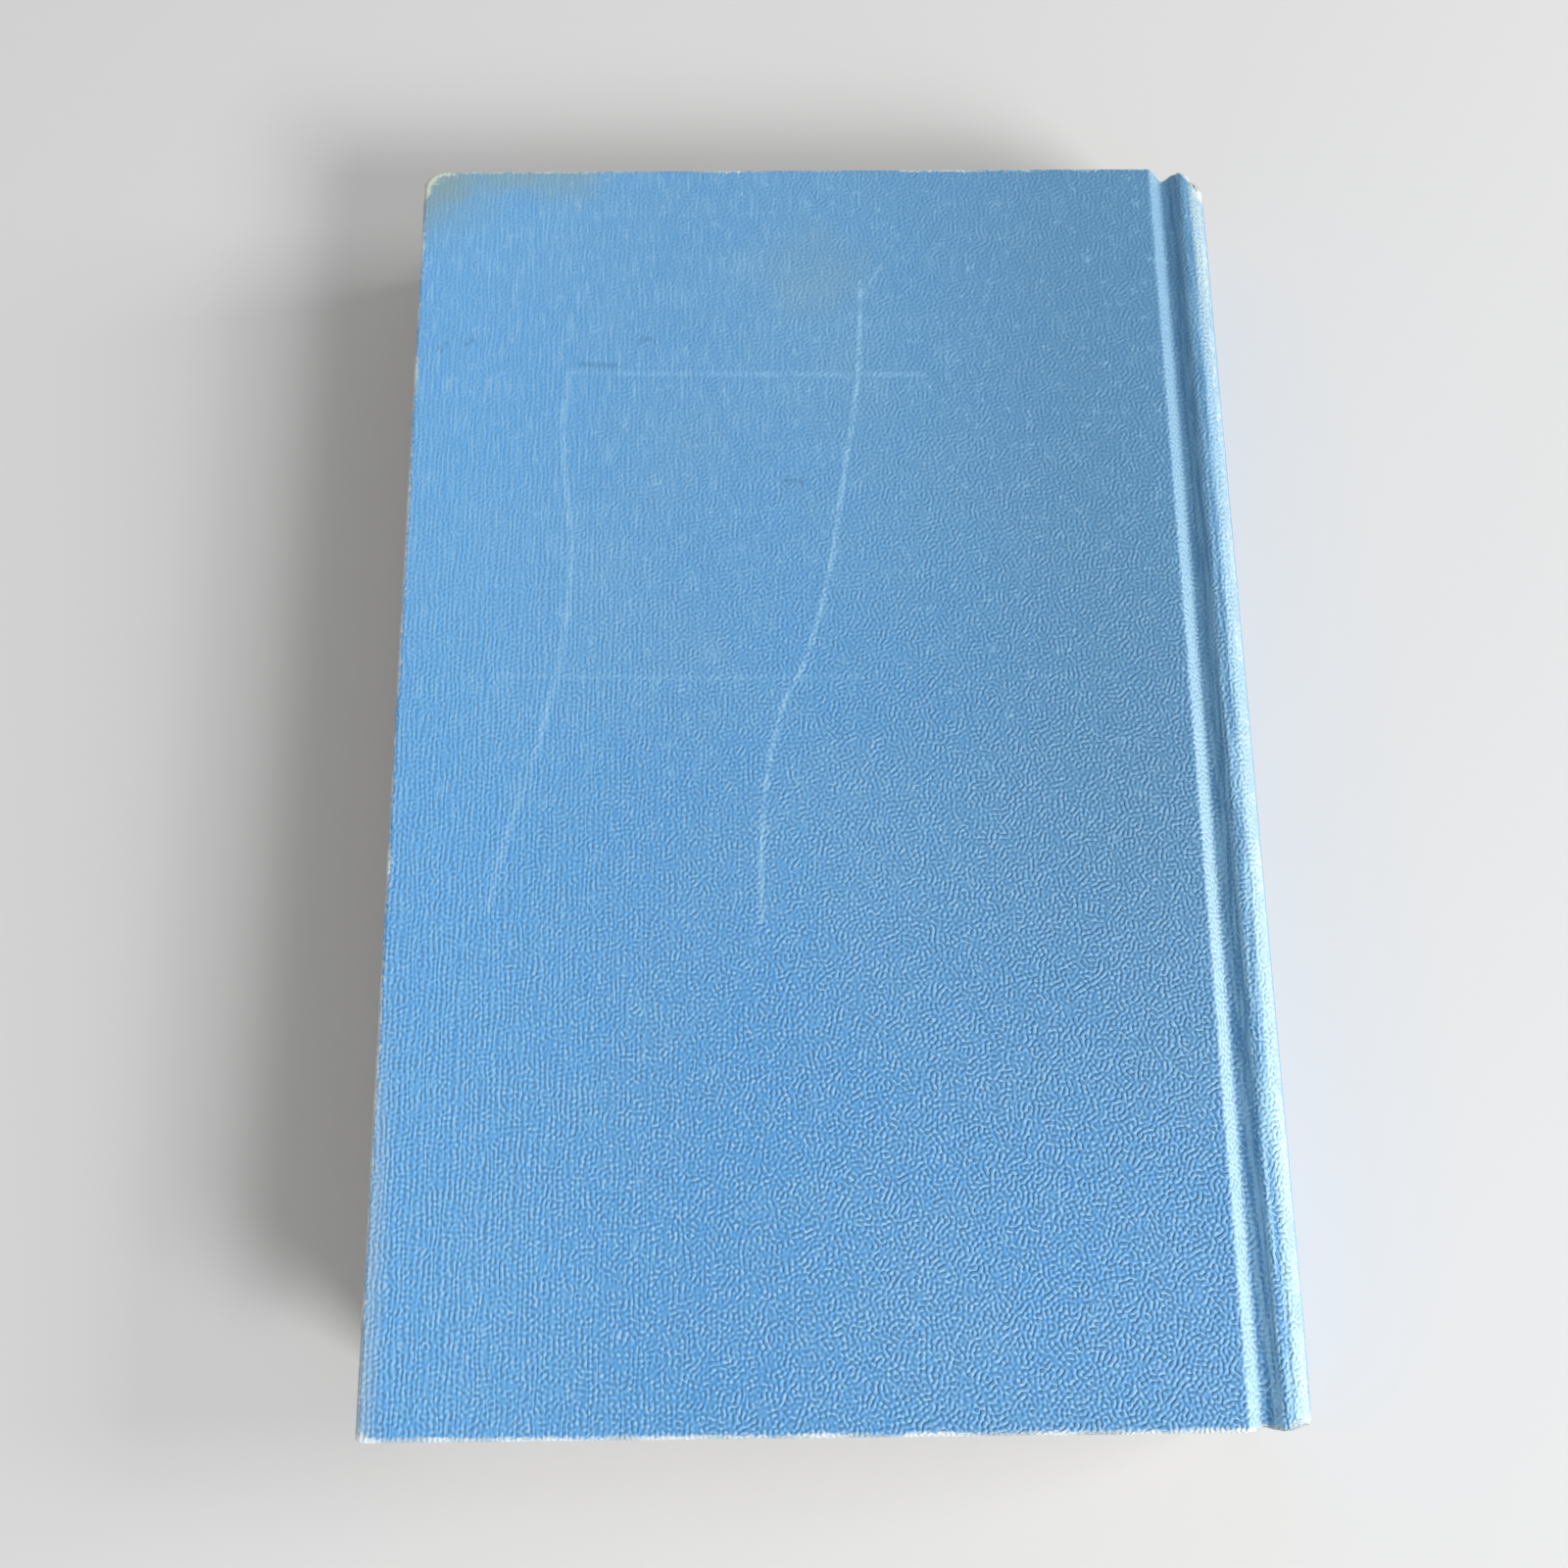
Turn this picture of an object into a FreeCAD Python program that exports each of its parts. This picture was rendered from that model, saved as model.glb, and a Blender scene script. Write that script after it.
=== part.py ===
import FreeCAD, Part
import math
import os
import re
from collections import namedtuple

import Sketcher

# A hardback book that lies on its front cover, with the back cover up.
# Millimetres. Each part is drawn in the book's own axes: x = 0 on the line through the block's
# spine edges, y = 0 at mid height and z = 0 at mid thickness, with the spine towards +x, the head
# towards +y and the back cover towards +z. The front cover and the front flyleaf are the parts of
# the back turned half a turn about x.

SIZES = {
    # block of leaves
    "block_thickness": 21,
    "spine_rise": 3.5,
    "shoulder_rise": 2.1,
    "foot_round": 1.5,
    "notch_depth": 0.5,
    "notch_step": 2.5,
    # sheet goods
    "leaf": 0.2,
    "leaf_gap": 0.3,
    "fabric": 0.4,
    "board": 2.4,
    "inlay": 0.5,
    "hollow": 0.3,
    "glue": 0.05,
    # case
    "cover_height": 222,
    "cover_reach": 143.4,
    "square": 3,
    "fore_edge_square": 3.2,
    "turn_in": 15,
    "corner_round": 1.4,
    "worn_round": 4,
    "rim_bevel": 0.35,
    "seam": 0.3,
    # joint between board and shoulder
    "slope": 45,
    "crest_reach": 2.2,
    "crest_round": 1,
    "valley_reach": 4.7,
    "valley_round": 1,
    "lip_round": 0.8,
    "axis_reach": 1.6,
    "joint_gap": 0.3,
    "board_reach": 7.8,
    "cap_round": 1.6,
    # spine linings, bands and thread
    "gauze_reach": 30,
    "bead": 0.8,
    "bead_sink": 0.3,
    "skirt": 9,
    "skirt_thickness": 0.25,
    "band_angle": 56,
    "thread": 0.25,
    "thread_angle": 50,
}

SECTIONS = 9
STITCH_ROWS = 6

# Tolerances for finding edges and checking cuts.
SAME_PLACE = 0.01
PARALLEL = 0.999
LEAST_CUT = 0.001

PAGE_HEIGHT = "(cover_height - 2 * square)"
PAGE_WIDTH = "(cover_reach - fore_edge_square)"
GAUZE_HEIGHT = "(cover_height - 2 * turn_in - 2)"
STITCH_STEP = f"({PAGE_HEIGHT} / {STITCH_ROWS + 1})"

# Levels above mid thickness, from the leaves out to the face of the cover.
BLOCK_FACE = "(block_thickness / 2)"
FLYLEAF_FACE = f"({BLOCK_FACE} + leaf)"
PASTE_INNER = f"({FLYLEAF_FACE} + leaf_gap)"
PASTE_OUTER = f"({PASTE_INNER} + leaf)"
BOARD_INNER = f"({PASTE_OUTER} + fabric)"
BOARD_OUTER = f"({BOARD_INNER} + board)"
COVER_FACE = f"({BOARD_OUTER} + fabric)"
CREST = f"({BLOCK_FACE} + shoulder_rise)"

# Depths below the outside of the cloth where it runs over the shoulder.
DEPTH_GAUZE = "fabric"
DEPTH_PASTE = "(2 * fabric)"
DEPTH_GAP = f"({DEPTH_PASTE} + leaf)"
DEPTH_FLYLEAF = f"({DEPTH_GAP} + leaf_gap)"
DEPTH_BLOCK = f"({DEPTH_FLYLEAF} + leaf)"
CREST_FACE = f"({CREST} + {DEPTH_BLOCK})"

# The spine's arcs share one centre on mid thickness.
SPINE_RADIUS = f"(({CREST}^2 + spine_rise^2) / (2 * spine_rise))"
SPINE_CENTRE = f"(spine_rise - {SPINE_RADIUS})"
FORE_EDGE_RADIUS = f"(({BLOCK_FACE}^2 + spine_rise^2) / (2 * spine_rise))"
GAUZE_OUT = "(glue + fabric)"
LINING_IN = f"({GAUZE_OUT} + glue)"
LINING_OUT = f"({LINING_IN} + leaf)"
HOLLOW_OUT = f"({LINING_OUT} + hollow)"
INLAY_OUT = f"({HOLLOW_OUT} + inlay)"
SPINE_OUT = f"({INLAY_OUT} + fabric)"

VALLEY_FACE = f"({CREST_FACE} - (valley_reach - crest_reach) * tan(slope))"
LIP_REACH = f"(valley_reach + ({COVER_FACE} - {VALLEY_FACE}) / tan(slope))"

# bend is the radius of the arc, bulging towards +x, that runs from this corner to the next one
Corner = namedtuple("Corner", "x z round bend", defaults=(None, None))

doc = FreeCAD.newDocument("hardback_book")
sheet = doc.addObject("Spreadsheet::Sheet", "Sizes")
for row, (alias, value) in enumerate(SIZES.items(), start=1):
    sheet.set(f"A{row}", str(value))
    sheet.setAlias(f"A{row}", alias)
doc.recompute()


def formula(text):
    """Turn bare size names into references to the sheet."""
    return re.sub(r"[a-z_]+", lambda word: "Sizes." + word[0] if word[0] in SIZES else word[0], text)


def value_of(text):
    return float(sheet.evalExpression(formula(text)))


def bind(thing, name, text):
    thing.setExpression(name, formula(text))


def constrain(sketch, text, kind, *where):
    """Add a measured constraint and tie it to the sheet."""
    index = sketch.addConstraint(Sketcher.Constraint(kind, *where, value_of(text)))
    sketch.setExpression(f"Constraints[{index}]", formula(text))


def place_point(sketch, x, y, geometry, point=1):
    constrain(sketch, x, "DistanceX", -1, 1, geometry, point)
    constrain(sketch, y, "DistanceY", -1, 1, geometry, point)


# Sketches

def new_sketch(body, plane_role, name):
    sketch = body.newObject("Sketcher::SketchObject", name)
    plane = next(part for part in body.Origin.OriginFeatures if part.Role == plane_role)
    sketch.AttachmentSupport = [(plane, "")]
    sketch.MapMode = "FlatFace"
    return sketch


def corner_point(corner):
    return FreeCAD.Vector(value_of(corner.x), value_of(corner.z), 0)


def tangent_points(before, here, after, radius):
    """Where a rounding of this radius leaves the two straight sides of a corner."""
    inward = (before - here).normalize()
    outward = (after - here).normalize()
    half_angle = inward.getAngle(outward) / 2
    reach = radius / math.tan(half_angle)
    middle = (inward + outward).normalize()
    nearest = here + middle * (radius / math.sin(half_angle) - radius)
    return here + inward * reach, nearest, here + outward * reach


def add_side(sketch, corner, start, end):
    """Draw the line or arc that leads from one corner to the next."""
    if corner.bend is None:
        return sketch.addGeometry(Part.LineSegment(start, end), False)
    radius = value_of(corner.bend)
    half_chord = (end - start).Length / 2
    rise = radius - math.sqrt(radius**2 - half_chord**2)
    middle = (start + end) / 2 + FreeCAD.Vector(rise, 0, 0)
    side = sketch.addGeometry(Part.Arc(start, middle, end), False)
    constrain(sketch, corner.bend, "Radius", side)
    return side


def end_near(sketch, geometry, point):
    """Tell which end of an arc lies at a point: its start is 1, its end 2."""
    at_start = sketch.getPoint(geometry, 1).distanceToPoint(point)
    at_end = sketch.getPoint(geometry, 2).distanceToPoint(point)
    return 1 if at_start < at_end else 2


def draw_outline(sketch, corners):
    """Draw a closed outline whose corners, roundings and arcs all follow the sheet."""
    points = [corner_point(corner) for corner in corners]
    count = len(corners)
    leaves = []
    for index, corner in enumerate(corners):
        here = points[index]
        if corner.round is None:
            leaves.append((here, None, here))
            continue
        before = points[index - 1]
        after = points[(index + 1) % count]
        leaves.append(tangent_points(before, here, after, value_of(corner.round)))
    sides = []
    for index, corner in enumerate(corners):
        start = leaves[index][2]
        end = leaves[(index + 1) % count][0]
        sides.append(add_side(sketch, corner, start, end))
    for index, corner in enumerate(corners):
        last_side = sides[index - 1]
        next_side = sides[index]
        arrive, nearest, depart = leaves[index]
        last_end = end_near(sketch, last_side, arrive)
        next_end = end_near(sketch, next_side, depart)
        if corner.round is None:
            joined = Sketcher.Constraint("Coincident", last_side, last_end, next_side, next_end)
            sketch.addConstraint(joined)
            place_point(sketch, corner.x, corner.z, next_side, next_end)
            continue
        mark = sketch.addGeometry(Part.Point(points[index]), True)
        place_point(sketch, corner.x, corner.z, mark)
        arc = sketch.addGeometry(Part.Arc(arrive, nearest, depart), False)
        first = end_near(sketch, arc, arrive)
        sketch.addConstraint(
            [
                Sketcher.Constraint("PointOnObject", mark, 1, last_side),
                Sketcher.Constraint("PointOnObject", mark, 1, next_side),
                Sketcher.Constraint("Tangent", last_side, last_end, arc, first),
                Sketcher.Constraint("Tangent", next_side, next_end, arc, 3 - first),
            ]
        )
        constrain(sketch, corner.round, "Radius", arc)


def draw_circle(sketch, x, y, radius):
    centre = FreeCAD.Vector(value_of(x), value_of(y), 0)
    circle = sketch.addGeometry(Part.Circle(centre, FreeCAD.Vector(0, 0, 1), value_of(radius)), False)
    place_point(sketch, x, y, circle, 3)
    constrain(sketch, radius, "Radius", circle)


def draw_square(sketch, x, y, half_side):
    left = f"({x} - {half_side})"
    right = f"({x} + {half_side})"
    low = f"({y} - {half_side})"
    high = f"({y} + {half_side})"
    draw_box(sketch, left, right, low, high)


def draw_box(sketch, left, right, low, high):
    corners = [Corner(left, low), Corner(right, low), Corner(right, high), Corner(left, high)]
    draw_outline(sketch, corners)


def draw_turning_axis(sketch):
    """Centre line of the spine's arcs, the first construction line of a sketch."""
    axis = sketch.addGeometry(Part.LineSegment(FreeCAD.Vector(0, 0, 0), FreeCAD.Vector(0, 1, 0)), True)
    place_point(sketch, SPINE_CENTRE, "0", axis, 1)
    place_point(sketch, SPINE_CENTRE, "1", axis, 2)


# Features

def new_body(label):
    return doc.addObject("PartDesign::Body", label)


def pad_along_y(body, corners, width, name):
    """Pad an outline of the x-z plane equally to both sides of mid height."""
    sketch = new_sketch(body, "XZ_Plane", name + "_outline")
    draw_outline(sketch, corners)
    pad = body.newObject("PartDesign::Pad", name)
    pad.Profile = sketch
    pad.Midplane = True
    bind(pad, "Length", width)
    doc.recompute()


def cut_along_y(body, corners, width, name):
    """Cut an outline of the x-z plane out equally to both sides of mid height."""
    sketch = new_sketch(body, "XZ_Plane", name + "_outline")
    draw_outline(sketch, corners)
    cut_sketch(body, sketch, width, name, Midplane=True)


def cut_sketch(body, sketch, depth, name, **direction):
    before = body.Shape.Volume
    cut = body.newObject("PartDesign::Pocket", name)
    cut.Profile = sketch
    for setting, value in direction.items():
        setattr(cut, setting, value)
    bind(cut, "Length", depth)
    doc.recompute()
    if body.Shape.Volume > before - LEAST_CUT:
        raise RuntimeError(f"{body.Label}: {name} cuts nothing")


def turn_about_axis(body, sketch, angle, name):
    turned = body.newObject("PartDesign::Revolution", name)
    turned.Profile = sketch
    turned.ReferenceAxis = (sketch, ["Axis0"])
    turned.Midplane = True
    bind(turned, "Angle", angle)
    doc.recompute()
    return turned


def treat_edges(body, kind, wanted, setting, size, name):
    """Fillet or chamfer each edge that passes the test."""
    base = body.Tip
    edges = []
    for number, edge in enumerate(base.Shape.Edges, start=1):
        middle = edge.valueAt((edge.FirstParameter + edge.LastParameter) / 2)
        if wanted(edge, middle):
            edges.append(f"Edge{number}")
    if not edges:
        raise RuntimeError(f"{body.Label}: {name} finds no edge")
    treated = body.newObject(kind, name)
    treated.Base = (base, edges)
    bind(treated, setting, size)
    doc.recompute()


def round_edges(body, wanted, radius, name):
    treat_edges(body, "PartDesign::Fillet", wanted, "Radius", radius, name)


def bevel_edges(body, wanted, size, name):
    treat_edges(body, "PartDesign::Chamfer", wanted, "Size", size, name)


def runs_along(edge, axis):
    """Whether an edge is straight and lies along an axis."""
    if not isinstance(edge.Curve, Part.Line):
        return False
    return abs(edge.tangentAt(edge.FirstParameter).dot(axis)) > PARALLEL


def settle(body, turned=False):
    """Move a part from the book's axes to the frame: origin under the middle, front cover down."""
    if turned:
        body.Placement.Rotation = FreeCAD.Rotation(FreeCAD.Vector(1, 0, 0), 180)
    bind(body, "Placement.Base.x", f"(cover_reach - spine_rise - {SPINE_OUT}) / 2")
    bind(body, "Placement.Base.z", COVER_FACE)
    return body


# Outlines that the layers of the joint share

def slope_x(depth, level):
    """Where a layer at this depth, on the slope up to the shoulder, reaches this level."""
    return f"(-crest_reach + {depth} * tan(slope / 2) - ({CREST_FACE} - {depth} - {level}) / tan(slope))"


def foot(depth, level):
    """Corner where a flat layer turns up the shoulder."""
    return Corner(slope_x(depth, level), level, f"(foot_round - {DEPTH_BLOCK} + {depth})")


def crest(depth):
    """Corner where a layer turns from the slope to the top of the shoulder."""
    return Corner(f"(-crest_reach + {depth} * tan(slope / 2))", f"({CREST_FACE} - {depth})")


def arc_x(out, level):
    """Where an arc, this far outside the block's spine, reaches this level."""
    return f"({SPINE_CENTRE} + sqrt(({SPINE_RADIUS} + {out})^2 - {level}^2))"


def arc_band(inner, outer, level):
    """Outline between two of the spine's arcs, up to a level above and below mid thickness."""
    return [
        Corner(arc_x(outer, level), level, bend=f"({SPINE_RADIUS} + {outer})"),
        Corner(arc_x(outer, level), f"-{level}"),
        Corner(arc_x(inner, level), f"-{level}", bend=f"({SPINE_RADIUS} + {inner})"),
        Corner(arc_x(inner, level), level),
    ]


def curved_band(inner, outer, inner_level, outer_level, end):
    """Outline between two arcs of the spine that carry on over both shoulders to an end."""
    return [
        Corner(end, outer_level),
        Corner(arc_x(outer, outer_level), outer_level, bend=f"({SPINE_RADIUS} + {outer})"),
        Corner(arc_x(outer, outer_level), f"-{outer_level}"),
        Corner(end, f"-{outer_level}"),
        Corner(end, f"-{inner_level}"),
        Corner(arc_x(inner, inner_level), f"-{inner_level}", bend=f"({SPINE_RADIUS} + {inner})"),
        Corner(arc_x(inner, inner_level), inner_level),
        Corner(end, inner_level),
    ]


# Parts of the text block

def make_page_block():
    body = new_body("page_block")
    top = [foot(DEPTH_BLOCK, BLOCK_FACE), crest(DEPTH_BLOCK)]
    below = [Corner(corner.x, f"-{corner.z}", corner.round) for corner in reversed(top)]
    outline = [
        Corner(f"-{PAGE_WIDTH}", BLOCK_FACE),
        *top,
        Corner("0", CREST, bend=SPINE_RADIUS),
        Corner("0", f"-{CREST}"),
        *below,
        Corner(f"-{PAGE_WIDTH}", f"-{BLOCK_FACE}", bend=FORE_EDGE_RADIUS),
    ]
    pad_along_y(body, outline, PAGE_HEIGHT, "leaves")
    cut_section_notches(body)
    channels = body.newObject("PartDesign::Boolean", "thread_channels")
    channels.Type = "Cut"
    channels.setObjects([make_thread("thread_tool", "(thread + 4 * glue)")])
    doc.recompute()
    return settle(body)


def cut_section_notches(body):
    """Notch the spine between the folds of neighbouring sections."""
    for index in range(SECTIONS - 1):
        level = f"(notch_step * {index - (SECTIONS - 2) / 2})"
        mouth = f"({level} + notch_depth / 2)"
        lip = f"({level} - notch_depth / 2)"
        outline = [
            Corner(f"({arc_x('0', level)} - notch_depth)", level),
            Corner(f"({arc_x('0', level)} + notch_depth)", lip),
            Corner(f"({arc_x('0', level)} + notch_depth)", mouth),
        ]
        cut_along_y(body, outline, f"({PAGE_HEIGHT} + 1)", f"notch_{index}")


def make_thread(label, thickness):
    """Sewing thread: rows across the spine, joined along the outer sections in turn.

    The same path, a little thicker, is cut out of the leaves to seat it.
    """
    body = new_body(label)
    radius = f"({SPINE_RADIUS} - thread - 2 * glue)"
    first_row = f"(-{STITCH_STEP} * {(STITCH_ROWS - 1) / 2})"
    sketch = new_sketch(body, "XY_Plane", "row_outline")
    draw_turning_axis(sketch)
    draw_square(sketch, f"({SPINE_CENTRE} + {radius})", first_row, thickness)
    row = turn_about_axis(body, sketch, "thread_angle", "row")
    repeat_along_y(body, row, STITCH_ROWS, STITCH_STEP, "rows")
    for side in (1, -1):
        links = (STITCH_ROWS - (side < 0)) // 2
        start = first_row if side > 0 else f"({first_row} + {STITCH_STEP})"
        link = make_thread_link(body, radius, side, start, thickness)
        if links > 1:
            repeat_along_y(body, link, links, f"2 * {STITCH_STEP}", f"links_{links}")
    return body


def make_thread_link(body, radius, side, start, thickness):
    """One run of thread along an outer section, from a row to the next."""
    sketch = new_sketch(body, "XZ_Plane", "link_outline")
    x = f"({SPINE_CENTRE} + {radius} * cos(thread_angle / 2))"
    z = f"({side} * {radius} * sin(thread_angle / 2))"
    draw_square(sketch, x, z, thickness)
    bind(sketch, "AttachmentOffset.Base.z", f"-({start} - {thickness})")
    link = body.newObject("PartDesign::Pad", "link")
    link.Profile = sketch
    link.Reversed = True
    bind(link, "Length", f"{STITCH_STEP} + 2 * {thickness}")
    doc.recompute()
    return link


def repeat_along_y(body, feature, count, step, name):
    pattern = body.newObject("PartDesign::LinearPattern", name)
    pattern.Originals = [feature]
    axis = next(part for part in body.Origin.OriginFeatures if part.Role == "Y_Axis")
    pattern.Direction = (axis, [""])
    bind(pattern, "Length", f"{count - 1} * {step}")
    pattern.Occurrences = count
    body.Tip = pattern
    doc.recompute()


def make_flyleaf(label, turned):
    """Free half of the endpaper, pasted to the block and folded over its shoulder."""
    body = new_body(label)
    end = "(-leaf_gap)"
    outline = [
        Corner(f"-{PAGE_WIDTH}", BLOCK_FACE),
        foot(DEPTH_BLOCK, BLOCK_FACE),
        crest(DEPTH_BLOCK),
        Corner(end, CREST),
        Corner(end, f"({CREST} + leaf)"),
        crest(DEPTH_FLYLEAF),
        foot(DEPTH_FLYLEAF, FLYLEAF_FACE),
        Corner(f"-{PAGE_WIDTH}", FLYLEAF_FACE),
    ]
    pad_along_y(body, outline, PAGE_HEIGHT, "sheet")
    return settle(body, turned)


def make_spine_gauze():
    """Open gauze glued over the folds and the shoulders."""
    body = new_body("spine_mull")
    inner_level = f"({CREST} + leaf)"
    outer_level = f"({CREST} + leaf + fabric)"
    end = "(-axis_reach + joint_gap / 2)"
    outline = curved_band("glue", GAUZE_OUT, inner_level, outer_level, end)
    pad_along_y(body, outline, GAUZE_HEIGHT, "gauze")
    return settle(body)


def make_spine_lining():
    body = new_body("spine_lining_paper")
    outline = arc_band(LINING_IN, LINING_OUT, f"({CREST} - 2 * fabric)")
    pad_along_y(body, outline, GAUZE_HEIGHT, "lining")
    return settle(body)


def make_band(label, end):
    """Headband: a bead over the ends of the leaves with a skirt glued to the spine."""
    body = new_body(label)
    bead_x = "(spine_rise - bead_sink)"
    bead_y = f"({end} * ({PAGE_HEIGHT} / 2 + bead))"
    sketch = new_sketch(body, "XY_Plane", "bead_outline")
    draw_turning_axis(sketch)
    draw_circle(sketch, bead_x, bead_y, "bead")
    turn_about_axis(body, sketch, "band_angle", "bead")
    skirt_sketch = new_sketch(body, "XY_Plane", "skirt_outline")
    draw_turning_axis(skirt_sketch)
    foot_y = f"({end} * ({PAGE_HEIGHT} / 2 - skirt))"
    draw_box(skirt_sketch, "spine_rise", "(spine_rise + skirt_thickness)", foot_y, bead_y)
    turn_about_axis(body, skirt_sketch, "band_angle", "skirt_sheet")
    return settle(body)


# Parts of the case

def make_spine_inlay():
    body = new_body("spine_inlay")
    outline = arc_band(HOLLOW_OUT, INLAY_OUT, f"({CREST} - fabric)")
    pad_along_y(body, outline, "(cover_height - 2 * fabric)", "card")
    return settle(body)


def make_spine_cloth():
    """Cloth of the spine, turned in over the card at head and tail."""
    body = new_body("spine_cloth")
    end = "(-axis_reach + joint_gap / 2)"
    doubled_level = f"({CREST_FACE} - {DEPTH_PASTE})"
    skin_level = f"({CREST_FACE} - {DEPTH_GAUZE})"
    whole = curved_band(LINING_OUT, SPINE_OUT, doubled_level, CREST_FACE, end)
    pad_along_y(body, whole, "cover_height", "cloth")
    past_end = f"({end} - 1)"
    inner = f"({LINING_OUT} - leaf)"
    inner_level = f"({doubled_level} - leaf)"
    middle = curved_band(inner, INLAY_OUT, inner_level, skin_level, past_end)
    cut_along_y(body, middle, "(cover_height - 2 * turn_in)", "single_layer")
    card = arc_band(HOLLOW_OUT, INLAY_OUT, f"({CREST} - fabric)")
    cut_along_y(body, card, "(cover_height - 2 * fabric)", "card_pocket")
    cap_x = value_of(arc_x(SPINE_OUT, CREST_FACE))
    cap_z = value_of(CREST_FACE)

    def is_shoulder_edge(edge, middle):
        near = abs(middle.x - cap_x) < SAME_PLACE and abs(abs(middle.z) - cap_z) < SAME_PLACE
        return near and runs_along(edge, FreeCAD.Vector(0, 1, 0))

    round_edges(body, is_shoulder_edge, "cap_round", "shoulder_rounding")
    return settle(body)


def fore_edge_corners(body, reach, worn, plain, name):
    """Round the two fore-edge corners of a cover: the worn one is at the head of the back cover."""
    reach = value_of(reach)
    upright = FreeCAD.Vector(0, 0, 1)

    def at_corner(end):
        def wanted(edge, middle):
            at_fore_edge = abs(middle.x + reach) < SAME_PLACE
            return at_fore_edge and middle.y * end > 0 and runs_along(edge, upright)

        return wanted

    round_edges(body, at_corner(1), worn, name + "_head")
    round_edges(body, at_corner(-1), plain, name + "_tail")


def make_board(label, turned, worn):
    body = new_body(label)
    outline = [
        Corner("(-cover_reach + fabric)", BOARD_INNER),
        Corner("-board_reach", BOARD_INNER),
        Corner("-board_reach", BOARD_OUTER),
        Corner("(-cover_reach + fabric)", BOARD_OUTER),
    ]
    pad_along_y(body, outline, "(cover_height - 2 * fabric)", "slab")
    inner = [f"({size} - fabric)" for size in (worn, "corner_round")]
    fore_edge_corners(body, "(cover_reach - fabric)", *inner, "corner")
    return settle(body, turned)


def make_cover_cloth(label, turned, worn):
    """Cloth over a board and down into the joint, turned in on three sides."""
    body = new_body(label)
    end = "(-axis_reach - joint_gap / 2)"
    below = crest(DEPTH_PASTE)
    skin = [
        Corner("-cover_reach", PASTE_OUTER),
        Corner("-cover_reach", COVER_FACE),
        Corner(f"-{LIP_REACH}", COVER_FACE, "lip_round"),
        Corner("-valley_reach", VALLEY_FACE, "valley_round"),
        Corner("-crest_reach", CREST_FACE, "crest_round"),
        Corner(end, CREST_FACE),
        Corner(end, below.z),
        Corner(below.x, below.z),
        foot(DEPTH_PASTE, PASTE_OUTER),
    ]
    pad_along_y(body, skin, "cover_height", "cloth")
    lip_x = f"(-{LIP_REACH} - fabric * tan(slope / 2))"
    board_room = [
        Corner("(-cover_reach + fabric)", BOARD_INNER),
        Corner("(-cover_reach + fabric)", BOARD_OUTER),
        Corner(lip_x, BOARD_OUTER),
        Corner(f"({lip_x} + board / tan(slope))", BOARD_INNER),
    ]
    cut_along_y(body, board_room, "(cover_height - 2 * fabric)", "board_room")
    under = f"({PASTE_OUTER} - leaf)"
    past_end = f"({end} + 1)"
    window = [
        Corner("(-cover_reach + turn_in)", BOARD_INNER),
        foot(DEPTH_GAUZE, BOARD_INNER),
        crest(DEPTH_GAUZE),
        Corner(past_end, f"({CREST_FACE} - {DEPTH_GAUZE})"),
        Corner(past_end, under),
        Corner("(-cover_reach + turn_in)", under),
    ]
    cut_along_y(body, window, "(cover_height - 2 * turn_in)", "window")
    cut_mitre_seams(body)
    fore_edge_corners(body, "cover_reach", worn, "corner_round", "corner")
    bevel_cover_rim(body)
    return settle(body, turned)


def cut_mitre_seams(body):
    """Narrow seams where the turn-ins meet at the fore-edge corners."""
    for place, end in (("head", 1), ("tail", -1)):
        sketch = new_sketch(body, "XY_Plane", f"seam_outline_{place}")
        bind(sketch, "AttachmentOffset.Base.z", PASTE_OUTER)
        near = "(-cover_reach + fabric + worn_round)"
        near_y = f"({end} * (cover_height / 2 - fabric - worn_round))"
        far = "(-cover_reach + turn_in)"
        far_y = f"({end} * (cover_height / 2 - turn_in))"
        corners = [
            Corner(f"({near} - seam / 2)", near_y),
            Corner(f"({near} + seam / 2)", near_y),
            Corner(f"({far} + seam / 2)", far_y),
            Corner(f"({far} - seam / 2)", far_y),
        ]
        draw_outline(sketch, corners)
        cut_sketch(body, sketch, "fabric / 2", f"seam_{place}", Reversed=True)


def bevel_cover_rim(body):
    """Soften the outer edges along head, tail and fore-edge of a cover."""
    face = value_of(COVER_FACE)
    reach = value_of("cover_reach")
    half = value_of("cover_height / 2")
    lip = value_of(LIP_REACH) + value_of("lip_round")

    def is_rim(edge, middle):
        on_face = abs(middle.z - face) < SAME_PLACE
        at_fore_edge = abs(middle.x + reach) < value_of("worn_round")
        at_end = abs(abs(middle.y) - half) < SAME_PLACE and middle.x < -lip
        return on_face and (at_fore_edge or at_end)

    bevel_edges(body, is_rim, "rim_bevel", "rim")


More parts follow.
